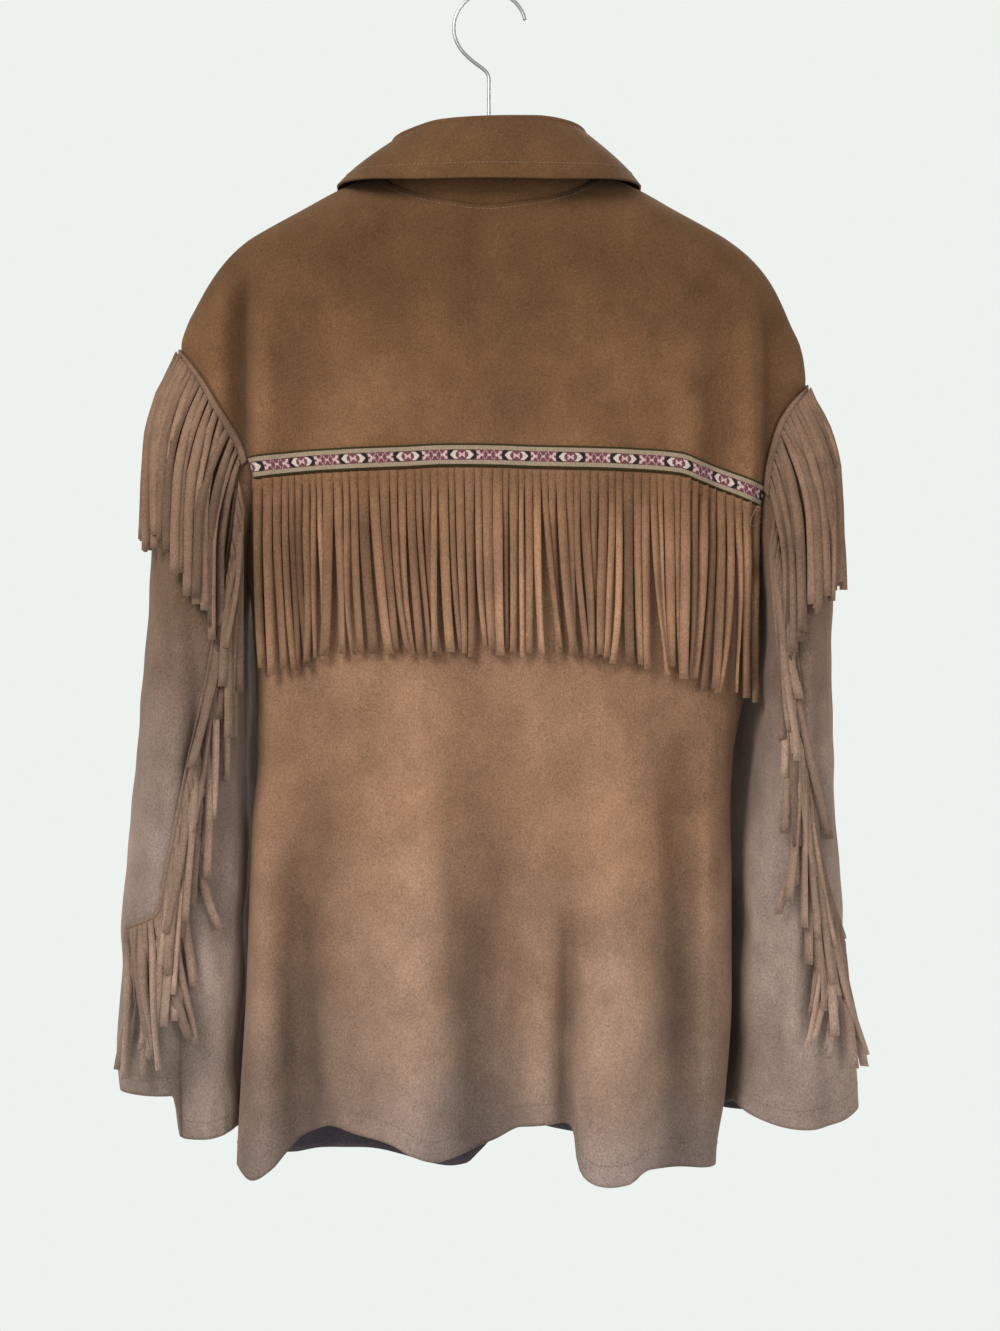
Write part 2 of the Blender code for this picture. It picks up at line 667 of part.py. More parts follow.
def cover_map():
    """How far the back of the body and the sleeves reaches towards -Y, on a grid of x and z cells."""
    cell = 4.0
    x0, z0 = -320.0, -960.0
    reach = np.full((160, 180), 60.0)
    clouds = [body(np.linspace(-1.2, 1.2, 400)[:, None], np.linspace(-940, -300, 330)[None, :])]
    for side_name in ARMHOLES:
        around = np.linspace(-0.6, math.pi + 0.6, 160)[:, None]
        clouds.append(sleeve(side_name, around, np.linspace(0, 1, 320)[None, :]))
    for points in clouds:
        points = points.reshape(-1, 3)
        if len(points) == 400 * 330:
            seams = np.where(points[:, 2] > -465, 196, 999)
            points = points[np.abs(points[:, 0]) < seams]
        i = ((points[:, 0] - x0) / cell).astype(int)
        j = ((points[:, 2] - z0) / cell).astype(int)
        np.minimum.at(reach, (i, j), points[:, 1])
    grown = reach.copy()
    for di in (-1, 0, 1):
        for dj in (-1, 0, 1):
            grown = np.minimum(grown, np.roll(np.roll(reach, di, 0), dj, 1))
    return cell, x0, z0, grown


def cover(area, x, z):
    """The back's reach at x and z, read from the map between its cells."""
    cell, x0, z0, reach = area
    fx = np.clip((x - x0) / cell - 0.5, 0, reach.shape[0] - 1.01)
    fz = np.clip((z - z0) / cell - 0.5, 0, reach.shape[1] - 1.01)
    i, j = fx.astype(int), fz.astype(int)
    u, v = fx - i, fz - j
    return (
        reach[i, j] * (1 - u) * (1 - v) + reach[i + 1, j] * u * (1 - v)
        + reach[i, j + 1] * (1 - u) * v + reach[i + 1, j + 1] * u * v
    )


def build_yoke_fringe(area, rows=3):
    left, right = armhole_angle_at_seam("left"), armhole_angle_at_seam("right")
    low = seam_z(np.zeros(1))[0]
    x_left = body(armhole("left", left)[0], low)[0] + 5
    x_right = body(armhole("right", right)[0], low)[0] - 6
    pitch = (x_right - x_left) / YOKE_STRANDS
    x = x_left + pitch * np.arange(YOKE_STRANDS)[:, None] + np.array([[0, pitch - 0.9]])
    flat_x = x.reshape(-1)
    top_z = smooth(flat_x, YOKE_SEAM["x"], YOKE_SEAM["z"]) - BRAID_HEIGHT / 2 - BRAID_CLEAR
    root_z = top_z - FRINGE_HEADER
    out = body_out(turn_at(flat_x, top_z), top_z)
    lift = LAY_GAP + STRAND_THICK + 0.4
    tops = body(turn_at(flat_x, top_z), top_z) + out * lift
    roots = body(turn_at(flat_x, root_z), root_z) + out * lift
    paths, outs = [], []
    for s in range(YOKE_STRANDS):
        tip = smooth(x[s].mean(), FRINGE_TIPS["x"], FRINGE_TIPS["z"]) + 3 * math.sin(s * 2.4)
        start = root_z[2 * s : 2 * s + 2]
        path = []
        for r in range(1, rows + 1):
            v = r / rows
            px = x[s] + 1.6 * math.sin(0.23 * s + 2.2 * v) * v
            pz = start + (tip - start) * v
            py = cover(area, px, pz).min() - lift - 1 - 2 * v - 1.2 * v * math.sin(s * 1.7)
            path.append(np.stack([px, np.full(2, py), pz], axis=-1))
        paths.append(path)
        outs.append([BACKWARDS] * rows)
    fringe("yoke_fringe", tops, roots, paths, {"strip": out, "strands": outs})


def build_armhole_fringe(side_name, rows=4):
    """Strands from the armhole seam that follow the sleeve down, in three layers."""
    last = armhole_angle_at_seam(side_name) - 0.2
    edges = np.linspace(-0.9, last, 2 * ARMHOLE_STRANDS)
    step = edges[1] - edges[0]
    edges = edges + np.where(np.arange(2 * ARMHOLE_STRANDS) % 2, 0.2, -0.2) * step
    _, seam = armhole(side_name, edges)
    long = seam + 880
    lift = LAY_GAP + STRAND_THICK + 0.7
    out = sleeve_out(side_name, edges, 6 / long)
    tops = sleeve(side_name, edges, 2 / long) + out * lift
    roots = sleeve(side_name, edges, 9 / long) + out * lift
    paths, outs = [], []
    for s in range(ARMHOLE_STRANDS):
        angle = edges[2 * s : 2 * s + 2].mean()
        length = long[2 * s : 2 * s + 2].mean()
        path, out_rows = [], []
        for r in range(1, rows + 1):
            v = r / rows
            run = (9 + STRAND_LENGTH * v) / length
            away = sleeve_out(side_name, angle, run) * np.array([1, 1, 0])
            away = away / np.linalg.norm(away)
            side = np.array([-away[1], away[0], 0.0]) * 2.4
            side = side if np.dot(side, roots[2 * s + 1] - roots[2 * s]) > 0 else -side
            centre = sleeve(side_name, angle, run) + away * (lift + 1 + 1.9 * (s % 3) + 12 * (1 - (1 - v) ** 2))
            path.append(np.stack([centre - side, centre + side]))
            out_rows.append(away)
        paths.append(path)
        outs.append(out_rows)
    fringe(f"armhole_fringe_{side_name}", tops, roots, paths, {"strip": out, "strands": outs})


def sleeve_seam(side_name, count):
    """Points (x, z) along the fringe seam of a sleeve, and the direction square to it in which its strands hang."""
    side = ARMHOLES[side_name]["side"]
    x, z = np.array(SLEEVE_FRINGES[side_name]["x"], float), np.array(SLEEVE_FRINGES[side_name]["z"], float)
    run = np.concatenate([[0], np.cumsum(np.hypot(np.diff(x), np.diff(z)))])
    at = np.linspace(0, run[-1], count)
    seam = np.stack([side * smooth(at, run, x), smooth(at, run, z)], axis=-1)
    along = unit(np.gradient(seam, axis=0))
    return seam, np.stack([along[:, 1], -along[:, 0]], axis=-1) * side


def build_sleeve_fringe(side_name, area, rows=3):
    """Strands that hang straight down from the seam on the back of the sleeve, in three layers."""
    side = ARMHOLES[side_name]["side"]
    seam, off = sleeve_seam(side_name, 2 * SLEEVE_STRANDS)
    lift = LAY_GAP + STRAND_THICK + 0.4
    header = lift - HEADER_SINK[side_name]
    edges = []
    for way in (-SLEEVE_STRIP_HALF, SLEEVE_STRIP_HALF):
        x, z = seam[:, 0] + way * off[:, 0], seam[:, 1] + way * off[:, 1]
        edges.append(np.stack([x, cover(area, x, z) - header, z], axis=-1))
    tops, roots = edges
    paths, outs = [], []
    for s in range(SLEEVE_STRANDS):
        start = roots[2 * s : 2 * s + 2]
        path = []
        for r in range(1, rows + 1):
            v = r / rows
            turned = ease(3 * v)
            across = side * np.array([-2.4, 2.4]) * turned
            pz = start[:, 2] * (1 - turned) + start[:, 2].mean() * turned - STRAND_LENGTH * v
            middle = start[:, 0] * (1 - turned) + start[:, 0].mean() * turned
            px = middle + side * (3 + 6 * (s % 3 - 1)) * v + across
            py = cover(area, px, pz).min() - lift - 1 - 2.2 * (s % 3) * ease(2 * v) - 1.5 * v
            path.append(np.stack([px, np.full(2, py), pz], axis=-1))
        paths.append(path)
        outs.append([BACKWARDS] * rows)
    strip = np.tile(BACKWARDS, (2 * SLEEVE_STRANDS, 1))
    fringe(f"sleeve_fringe_{side_name}", tops, roots, paths, {"strip": strip, "strands": outs})


def build_hanger(columns=25, sides=10):
    reach = HANGER_LINE["x"][-1]
    x = np.linspace(-reach, reach, columns)
    top = smooth(np.abs(x), HANGER_LINE["x"], HANGER_LINE["top"])
    tall = 24 - 10 * (np.abs(x) / reach) ** 2
    angle = np.linspace(0, 2 * math.pi, sides, endpoint=False)
    rings = []
    for px, pz, high in zip(x, top, tall):
        y = HANGER_THICK / 2 * np.sign(np.cos(angle)) * np.abs(np.cos(angle)) ** 0.7
        z = pz - high / 2 + high / 2 * np.sign(np.sin(angle)) * np.abs(np.sin(angle)) ** 0.8
        rings.append(np.stack([np.full(sides, px), y, z], axis=-1))
    vertices = np.concatenate(rings)
    faces = [tuple(range(sides)), tuple(reversed(range((columns - 1) * sides, columns * sides)))]
    for i in range(columns - 1):
        for j in range(sides):
            k = (j + 1) % sides
            a, b = i * sides, (i + 1) * sides
            faces.append((a + k, a + j, b + j, b + k))
    make("hanger_bar", vertices, facing_out(vertices, faces), HANGER_COLOUR, 0.5)


def build_hook(sides=8):
    centre = np.array([0.8, 0, HOOK_WIRE - HOOK_BEND])
    turns = np.radians(np.linspace(12, 222, 20))
    path = [centre + HOOK_BEND * np.array([math.cos(a), 0, math.sin(a)]) for a in turns]
    last = path[-1]
    foot = np.array([0.0, 0.0, HANGER_LINE["top"][0] + SEAM_GAP])
    bend = np.array([0.0, 0.0, -68.0])
    pull = last + 17 * np.array([math.sin(turns[-1]) * -1, 0, math.cos(turns[-1])])
    for v in np.linspace(0, 1, 8)[1:]:
        path.append(last * (1 - v) ** 3 + 3 * pull * v * (1 - v) ** 2 + 3 * (bend + [0, 0, 9]) * v**2 * (1 - v)
                    + bend * v**3)
    path.append(foot)
    path = np.array(path)
    along = unit(np.gradient(path, axis=0))
    side = np.cross(along, np.array([0, 1.0, 0]))
    angle = np.linspace(0, 2 * math.pi, sides, endpoint=False)
    rings = [
        p + HOOK_WIRE * (np.cos(angle)[:, None] * s + np.sin(angle)[:, None] * np.array([0, 1.0, 0]))
        for p, s in zip(path, side)
    ]
    vertices = np.concatenate(rings)
    count = len(path)
    faces = [tuple(range(sides)), tuple(reversed(range((count - 1) * sides, count * sides)))]
    for i in range(count - 1):
        for j in range(sides):
            k = (j + 1) % sides
            a, b = i * sides, (i + 1) * sides
            faces.append((a + k, a + j, b + j, b + k))
    make("hanger_hook", vertices, facing_out(vertices, faces), WIRE_COLOUR, 0.35, 1.0)


def main():
    for old in list(bpy.data.objects):
        bpy.data.objects.remove(old)
    area = cover_map()
    build_back_yoke()
    build_back_body()
    for side_name in ARMHOLES:
        build_front(side_name)
        build_sleeve(side_name)
        build_armhole_fringe(side_name)
        build_sleeve_fringe(side_name, area)
    build_placket()
    for number, z in enumerate(BUTTON_HEIGHTS, 1):
        build_button(number, z)
    build_collar()
    build_braid()
    build_yoke_fringe(area)
    build_hanger()
    build_hook()


main()
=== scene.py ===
"""A fringed suede shirt-jacket on a plain hanger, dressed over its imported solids.

Lengths in the tables are millimetres. The origin is the top of the hook's inner curve, +Z is up, the
jacket's back faces -Y and +X is the wearer's right.
"""

import math

import bpy
import numpy as np
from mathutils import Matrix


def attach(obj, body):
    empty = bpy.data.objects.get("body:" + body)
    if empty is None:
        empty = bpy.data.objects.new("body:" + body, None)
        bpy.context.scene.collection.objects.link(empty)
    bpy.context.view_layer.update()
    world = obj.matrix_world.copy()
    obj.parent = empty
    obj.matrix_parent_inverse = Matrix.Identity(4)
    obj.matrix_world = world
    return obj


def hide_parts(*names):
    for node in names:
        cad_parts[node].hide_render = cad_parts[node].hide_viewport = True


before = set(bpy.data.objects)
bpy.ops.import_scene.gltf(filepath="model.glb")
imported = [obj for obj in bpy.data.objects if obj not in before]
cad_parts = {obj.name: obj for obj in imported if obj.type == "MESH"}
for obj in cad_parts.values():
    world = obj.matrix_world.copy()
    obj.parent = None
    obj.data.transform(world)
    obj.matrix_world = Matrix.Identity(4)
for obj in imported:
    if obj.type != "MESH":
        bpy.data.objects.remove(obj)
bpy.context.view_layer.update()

bl_info = {
    "name": "Fringe Jacket",
    "version": (1, 0, 0),
    "blender": (4, 5, 0),
    "location": "3D View > Sidebar > Fringe Jacket",
    "description": "Makes a fringed suede shirt-jacket on a hanger, piece by piece",
    "category": "Object",
}

MM = 0.001

# Gaps between sewn edges, between a layer and what it lies on, round the armholes, and at the sides in turns
SEAM_GAP = 0.4
LAY_GAP = 0.6
ARMHOLE_GAP = 1.0
SIDE_GAP = 0.004
BACKWARDS = np.array([0.0, -1.0, 0.0])

# Half widths of the body on each side, a row for each height
HALF_WIDTHS = {
    "z": [-938, -911, -865, -788, -696, -650, -604, -550, -478, -430, -395, -364, -342, -331, -321, -308,
          -295, -280, -262, -250, -230, -212, -197, -185, -172, -157, -141, -120],
    "left": [199, 198, 195.5, 191, 188, 186, 182, 183, 188, 199, 210, 222, 233, 237, 239, 240,
             241, 243, 238, 232, 221, 208, 192, 172, 148, 121, 87, 40],
    "right": [178, 179, 186, 191, 191, 190, 192, 202, 213, 222, 232, 235, 237, 240, 244, 250,
              249, 246, 238, 233, 223, 209, 191, 171, 147, 121, 87, 40],
}

# Half depth and squareness of the body's section, a row for each height
SECTIONS = {
    "z": [-938, -800, -600, -470, -372, -300, -250, -200, -177, -167, -160, -152, -141, -120],
    "half_depth": [66, 64, 60, 57, 52, 50, 50, 50, 48, 44, 38, 30, 15, 4],
    "square": [3.2, 3.2, 3.1, 3.0, 3.0, 2.6, 2.3, 2.0, 2.0, 2.0, 2.0, 2.0, 2.0, 2.0],
}

# Long folds of the back: middle, half width, depth (outwards is plus) and the heights where each grows
BACK_FOLDS = {
    "middle": [-144, -60, -5, 37, 60, 94, 150],
    "half_width": [21, 34, 24, 16, 9, 27, 17],
    "depth": [-23, 11, -17, 5, -11, 15, -16],
    "from_z": [-520, -500, -470, -560, -640, -520, -470],
    "to_z": [-880, -760, -800, -760, -880, -860, -800],
}

# Folds of the yoke, where the cloth drops off the hanger's ends: each has a width for either side
YOKE_FOLDS = {
    "middle": [-191, -179, -210, -151, -100, 150, 176, 203, 217, 231],
    "left_width": [13, 3, 8, 16, 26, 18, 13, 10, 4, 9],
    "right_width": [5, 14, 8, 16, 26, 18, 13, 4, 13, 9],
    "depth": [-19, 5, 8, -8, 4, 3, -10, 6, -13, -6],
    "top_z": [-215, -225, -220, -240, -290, -260, -240, -240, -240, -240],
    "low_z": [-465, -480, -380, -440, -420, -430, -470, -450, -460, -450],
}

# Long folds of the front, which the photo doesn't show
FRONT_FOLDS = {
    "middle": [-130, -80, 75, 125],
    "half_width": [24, 26, 26, 22],
    "depth": [-12, 8, 9, -11],
    "from_z": [-420, -420, -420, -420],
    "to_z": [-880, -860, -860, -880],
}

# Hems and seams across the body, by place along X
BACK_HEM = {
    "x": [-196, -183, -166, -156, -141, -120, -101, -75, -57, -39, -25, 2, 25, 49, 61, 64, 68, 74, 83, 92,
          107, 113, 118, 124, 153, 180],
    "z": [-921, -929, -919, -907, -892, -884, -888, -894, -903, -908, -906, -896, -882, -880, -882, -889,
          -912, -921, -925, -926, -925, -922, -918, -916, -918, -921],
}
FRONT_HEM = {
    "x": [-196, -160, -133, -103, -70, -32, -19, -8, 8, 26, 45, 68, 120, 180],
    "z": [-920, -927, -923, -926, -934, -942, -940, -930, -913, -900, -909, -915, -922, -917],
}
YOKE_SEAM = {
    "x": [-196, -182, -145, -106, -68, -30, 9, 47, 85, 124, 147, 162, 185, 213, 225],
    "z": [-381, -378.2, -374.3, -372.8, -371.3, -369.7, -370.1, -371.3, -372, -373.6, -375.9, -381.2, -388.9,
          -400.4, -406],
}
FRINGE_TIPS = {
    "x": [-196, -182, -155, -121, -68, 39, 85, 115, 146, 192, 215],
    "z": [-541, -538, -533, -524, -523, -521, -525, -531, -538, -553, -563],
}

# The neck seam, from the middle of the back round to the middle of the front: 1 is the shoulder
NECK = {
    "turn": [0.0, 0.3, 0.55, 0.75, 0.88, 1.0, 1.12, 1.3, 1.55, 1.8, 2.0],
    "x": [0, 33, 58, 73, 81, 87, 83, 75, 60, 32, 0.5],
    "z": [-177, -173, -166, -158, -151, -141, -151, -168, -188, -208, -216],
}

# The collar's fold and the edge of its fall, by the same turn
COLLAR = {
    "turn": [0.0, 0.35, 0.65, 0.85, 1.0, 1.2, 1.45, 1.7, 1.9],
    "fold_x": [0, 34, 59, 70, 73, 70, 59, 40, 17],
    "fold_y": [-48, -45, -34, -17, 0, 22, 40, 50, 55],
    "fold_z": [-113, -113, -115, -117, -120, -130, -151, -171, -188],
    "edge_x": [0, 47, 92, 113, 121, 118, 103, 82, 62],
    "edge_y": [-66, -63, -50, -28, 0, 27, 48, 58, 61],
    "edge_z": [-160, -160, -157, -154, -152, -168, -201, -230, -252],
}

# Armholes: the seam is an upright oval on the body's surface
ARMHOLES = {
    "left": {"side": -1, "top": -280, "bottom": -470, "half_depth": 38},
    "right": {"side": 1, "top": -308, "bottom": -478, "half_depth": 32},
}

# Sleeves: outer and inner reach along X and half depth, a row for each height
SLEEVES = {
    "left": {
        "z": [-280, -310, -329, -361, -400, -441, -479, -558, -637, -701, -748, -801, -843, -900],
        "outer": [243, 251, 256, 262, 265, 266, 267, 274, 281, 286, 290, 292.5, 293, 290],
        "inner": [190, 190, 190, 190, 190, 191, 192, 191, 191, 193, 194, 196, 198, 199],
        "half_depth": [40, 48, 52, 56, 60, 62, 63, 63, 60, 57, 53, 47, 41, 34],
        "hem_outer": -868, "hem_inner": -894,
    },
    "right": {
        "z": [-280, -310, -329, -361, -400, -441, -479, -558, -622, -685, -748, -796, -843, -900],
        "outer": [247, 251, 257, 263, 266, 268, 269.5, 269, 272, 276, 279, 282.5, 289, 297],
        "inner": [216, 216, 216, 216, 216, 216, 216, 211, 205, 202, 200, 199.5, 197, 194],
        "half_depth": [40, 48, 54, 62, 68, 71, 72, 69, 65, 60, 54, 48, 42, 36],
        "hem_outer": -878, "hem_inner": -876,
    },
}

# How soon the sleeve leaves the armhole's shape, how its hem arcs, and how far down it ends
SLEEVE_BLEND = 70
SLEEVE_ARC = -14
SLEEVE_END = 880

# Rings of slack cloth above the sleeve's hem: depth, length of a ring and the heights between which they show
SLACK = {"depth": 1.6, "length": 19, "low_z": -900, "high_z": -690}

# The left sleeve's outer panel: its own hem, its edges round the sleeve, and where it laps over the back
OUTER_PANEL_HEM = -865
PANEL_EDGE = 1.74
PANEL_FAR_EDGE = -2.2
LAP_ANGLE = 1.95
LAP_HALF = 0.17
LAP_HEIGHT = 6.5
LAP_FROM = -520

# How far each sleeve reaches in behind the body's edge, at this angle round the sleeve
SLEEVE_LOBES = {"left": 24, "right": 31}
LOBE_ANGLE = 4.15
LOBE_HALF = 0.45
LOBE_FROM = -430

# The long crease down the back of each sleeve: its angle round the sleeve, half width there and depth
SLEEVE_GROOVES = {
    "left": {"angle": 1.82, "half_width": 0.24, "depth": -6},
    "right": {"angle": 1.15, "half_width": 0.22, "depth": -2.5},
}

# The seam down the back of each sleeve that the fringe hangs from
SLEEVE_FRINGES = {
    "left": {
        "x": [194, 197, 211, 230, 246, 253, 266, 281],
        "z": [-395, -427, -519, -611, -688, -720, -728, -734],
    },
    "right": {
        "x": [221, 223, 230, 241, 254, 265, 271, 277],
        "z": [-420, -440, -496, -588, -673, -715, -730, -744],
    },
}
SEAM_WELT_HALF = 1.8

# Where the strands stand along that seam: more of them to the millimetre near the cuff
STRAND_PLACES = {"share": [0, 0.78, 1], "left": [0.0, 0.89, 0.995], "right": [0.0, 0.88, 0.995]}

# Length of a strand at this place of the seam, how far its tip leans in, and how widely the tips spread
STRAND_LENGTHS = {
    "place": [0.0, 0.4, 0.75, 0.88, 1.0],
    "left": [128, 126, 126, 118, 112],
    "right": [128, 126, 120, 106, 98],
    "lean": [-9, -6, -8, -2, 8],
    "spread": {"left": 11.5, "right": 14.5},
}

# How the strands of each fringe are cut and hang. A pair is the lowest and highest, or a tone's middle and
# spread; a single value is the spread of seeded normal ones, in millimetres, or radians for fan and twist.
YOKE_STRANDS = {
    "seed": 5, "rows": 14, "pitch": (0.72, 1.28), "gap": (0.15, 0.5), "tips": 2.2, "cut": (0.9, 1.1),
    "drift": 1.5, "crossing": 6.0, "sway": 1.0, "hook": 2.2, "twist": 0.42, "tone": (1.16, 0.22),
}
ARMHOLE_STRANDS = {
    "seed": {"left": 7, "right": 8}, "rows": 15, "from_angle": -0.9, "length": 7, "fan": 0.08,
    "half": (2.8, 3.9), "twist": 0.35, "shift": 2.5, "sway": 2.0, "tone": (1.04, 0.24),
}
SLEEVE_STRANDS = {
    "seed": {"left": 3, "right": 4}, "rows": 14, "length": (0.8, 1.1), "half": (2.6, 3.9), "swing": 1.3,
    "twist": 0.42, "tone": (1.13, 0.25),
}

BRAID_HEIGHT = 17.5
BRAID_CLEAR = 1.3
FRINGE_HEADER = 8.5
PLACKET_HALF = 17
BUTTON_HEIGHTS = [-236, -340, -444, -548, -652, -756]
BUTTON_PROFILE = [[0.3, 0], [6.4, 0], [7, 0.5], [7, 2.0], [6.7, 2.7], [6.1, 3.0], [5.5, 2.8], [4.6, 2.2],
                  [3.2, 2.0], [0.3, 2.0]]
BUTTON_HOLES = 1.5
HEM_STITCHES = 16
HANGER_TOP = -124
HOOK_BEND = 28.5

# Painted shade and highlight on the folds: how much paler the colour is made for each millimetre that the
# cloth stands out, and darker for each millimetre that it sinks in
PAINTED_FOLD_SHADE = 0.026

# Creases of the back that are laid in: from and to along X and Z, half width and depth
BACK_CREASES = {
    "from_x": [-178, -152, -136, -30, 12, 62, 60, 136, 170, -96, 20, 108, -60, -120, -70, 80],
    "from_z": [-470, -640, -840, -600, -700, -700, -800, -560, -560, -600, -560, -600, -800, -540, -540,
               -530],
    "to_x": [-181, -148, -118, -12, -2, 57, 70, 150, 165, -88, 26, 122, -46, -128, -40, 60],
    "to_z": [-915, -905, -900, -860, -890, -900, -915, -880, -890, -850, -640, -860, -900, -700, -640, -660],
    "half_width": [11, 12, 9, 12, 7, 5, 6, 9, 7, 11, 10, 11, 10, 12, 14, 14],
    "depth": [8, -7, -4, -3, 2.4, -5, 5, -4, 5, 2.4, -2.4, 2.6, 2.4, -3, 2.5, -2.5],
}

# Creases of the yoke, where it drops off the hanger and pulls at the braid
YOKE_CREASES = {
    "from_x": [-206, -172, -150, -118, 60, 120, 170, 212, -60, 10, 150],
    "from_z": [-262, -262, -300, -285, -300, -280, -262, -300, -215, -230, -330],
    "to_x": [-212, -168, -142, -96, 84, 150, 176, 206, -110, 60, 128],
    "to_z": [-350, -378, -372, -368, -368, -372, -388, -392, -262, -262, -376],
    "half_width": [4, 7, 9, 12, 14, 12, 7, 5, 14, 15, 8],
    "depth": [-2, 2, -2, 1.6, -1.4, 1.8, -2.2, 2, -1.2, 1.2, -1.4],
}

# Creases of the sleeves, by angle round the sleeve and height
SLEEVE_CREASES = {
    "left": {
        "from_angle": [1.0, 0.7, 0.45, 0.5, 0.35, 2.3, 2.2, 1.3, 4.2, 5.0, 4.6],
        "from_z": [-480, -560, -690, -705, -718, -560, -760, -640, -500, -640, -760],
        "to_angle": [1.5, 1.1, 0.95, 1.0, 0.9, 2.4, 2.1, 1.2, 4.4, 5.2, 4.3],
        "to_z": [-600, -690, -698, -712, -726, -800, -880, -800, -700, -840, -870],
        "half_width": [9, 8, 4, 4, 4, 12, 10, 9, 14, 14, 12],
        "depth": [-2.5, 2, -1.6, 1.4, -1.6, -6, -4, 2, -4, -4, 3],
    },
    "right": {
        "from_angle": [2.4, 2.2, 2.0, 0.8, 1.3, 2.7, 4.2, 5.0, 4.6],
        "from_z": [-500, -620, -740, -500, -660, -640, -500, -640, -760],
        "to_angle": [2.2, 2.5, 2.1, 0.9, 1.5, 2.5, 4.4, 5.2, 4.3],
        "to_z": [-640, -800, -870, -700, -850, -860, -700, -840, -870],
        "half_width": [12, 10, 9, 10, 9, 8, 14, 14, 12],
        "depth": [-3, 2.5, -3, 2, -2.5, 2, -4, -4, 3],
    },
}
SLEEVE_GIRTH_PER_ANGLE = 48

# A quarter of the woven band's repeat, charted from the dark lozenge's middle: the rest mirrors it
BAND_THREADS = {
    "k": (0.010, 0.009, 0.009),
    "w": (0.37, 0.30, 0.26),
    "l": (0.35, 0.24, 0.23),
    "p": (0.090, 0.030, 0.036),
    "m": (0.26, 0.15, 0.155),
    "b": (0.195, 0.145, 0.098),
    "g": (0.021, 0.015, 0.003),
}
BAND_CHART = [
    "pppppppkkkkkpppppppppmpppp",
    "ppppwwwwkkkkkpllmppppmpmpp",
    "ppmppwwwwkkkkklllpppmppmpp",
    "pllpppwwwwkkkkmlllpmppppmp",
    "llmpppwwwwwkkkppllllmpppml",
]
BAND_CELL = 0.8
BAND_ROWS = 22

# Drift of the yoke fringe's tips by place, the strands that cross a neighbour, and clumps darkened with
# painted shade where they hang in a fold's valley
YOKE_DRIFT = {"x": [-190, -165, -135, -40, 60, 210], "drift": [-3, 1, 9, 6, 1, -3]}
CROSSING_STRANDS = (9, 21, 34, 36, 47)
PAINTED_SHADE_CLUMPS = {"x": [-147, 176], "half_width": [15, 14], "depth": [0.36, 0.16]}

# Levels that the seams are first looked for at
EVEN_LEVEL = -750.0
HEM_LEVEL = -905.0
SEAM_LEVEL = -375.0
SEAM_ROUNDS = 6

# The collar's roll: its share of the fall, and the gap round it
ROLL_SHARE = 0.2
ROLL_GAP = 2.4

# The map of the back's reach: the size of a cell, its first corner, its cells and the reach where nothing is
COVER = {"cell": 3.0, "x": -321.0, "z": -960.0, "cells": (214, 240), "beyond": 60.0}

# Clouding of the suede: waves to the metre, detail, and how dark and how pale each makes it
CLOUDING = ((13.0, 3.0, 0.84, 1.16), (36.0, 5.0, 0.86, 1.14), (850.0, 2.0, 0.74, 1.26))

# The camera and the stage, in metres and watts
CAMERA_PLACE = (0.0087, -1.70, -0.5312)
VIEW_WIDTH = 0.791
SENSOR = 36
FLOOR_HEIGHT = -1.6
FLOOR_RADIUS = 1.25
FLOOR_COLOUR = (0.80, 0.82, 0.80)
LAMP_AIM = (0.0, 0.0, -0.5)
LAMPS = (
    ("key_lamp", (-1.05, -1.5, 0.85), 1.15, 58.0),
    ("fill_lamp", (1.2, -1.7, -0.3), 1.2, 13.0),
    ("far_lamp", (0.5, 2.0, 0.3), 1.6, 30.0),
)


def smooth(at, knots, values):
    """A smooth curve through a table: cubic pieces whose slopes are those of each row's neighbours."""
    order = np.argsort(knots)
    knots = np.asarray(knots, float)[order]
    values = np.asarray(values, float)[order]
    at = np.clip(np.asarray(at, float), knots[0], knots[-1])
    step = np.diff(knots)
    chord = np.diff(values) / step
    slope = np.empty(len(knots))
    slope[0], slope[-1] = chord[0], chord[-1]
    level = chord[:-1] * chord[1:] <= 0
    mean = 2 * chord[:-1] * chord[1:] / np.where(level, 1, chord[:-1] + chord[1:])
    slope[1:-1] = np.where(level, 0, mean)
    i = np.clip(np.searchsorted(knots, at) - 1, 0, len(step) - 1)
    w = (at - knots[i]) / step[i]
    return (
        values[i] * (1 + 2 * w) * (1 - w) ** 2
        + slope[i] * step[i] * w * (1 - w) ** 2
        + values[i + 1] * w**2 * (3 - 2 * w)
        + slope[i + 1] * step[i] * w**2 * (w - 1)
    )


def mirrored(at, knots, values):
    """The smooth curve of a table and its mirror image, so that it runs level through 0."""
    return smooth(at, [-k for k in knots[:0:-1]] + list(knots), list(values[:0:-1]) + list(values))


def ease(x):
    """3x^2 - 2x^3 between 0 and 1, level beyond both ends."""
    x = np.clip(x, 0, 1)
    return x * x * (3 - 2 * x)


def below(z, level, over):
    """0 down to this level, then easing to 1 within this many millimetres."""
    return ease((level - z) / over)


def above(z, level, over):
    """0 up to this level, then easing to 1 within this many millimetres."""
    return ease((z - level) / over)


def mix(first, second, share):
    """The first turning into the second as the share goes from 0 to 1.

    Shares of points get an axis for x, y and z.
    """
    if np.ndim(share) < np.ndim(second):
        share = share[..., None]
    return first * (1 - share) + second * share


def bell(x, middle, half):
    """exp(-((x - middle) / half)^2)."""
    return np.exp(-(((x - middle) / half) ** 2))


def run_along(line):
    """Length along a line of points at each of them: the sum of the steps before it."""
    return np.concatenate([[0], np.cumsum(np.linalg.norm(np.diff(line, axis=0), axis=1))])


def at_lengths(at, run, values):
    """A line's points or directions at these lengths along it, in straight steps between its own."""
    return np.stack([np.interp(at, run, values[:, i]) for i in range(3)], axis=-1)


def full_turn(angle):
    """The same angle from 0 to 2 pi."""
    return np.mod(angle, 2 * math.pi)


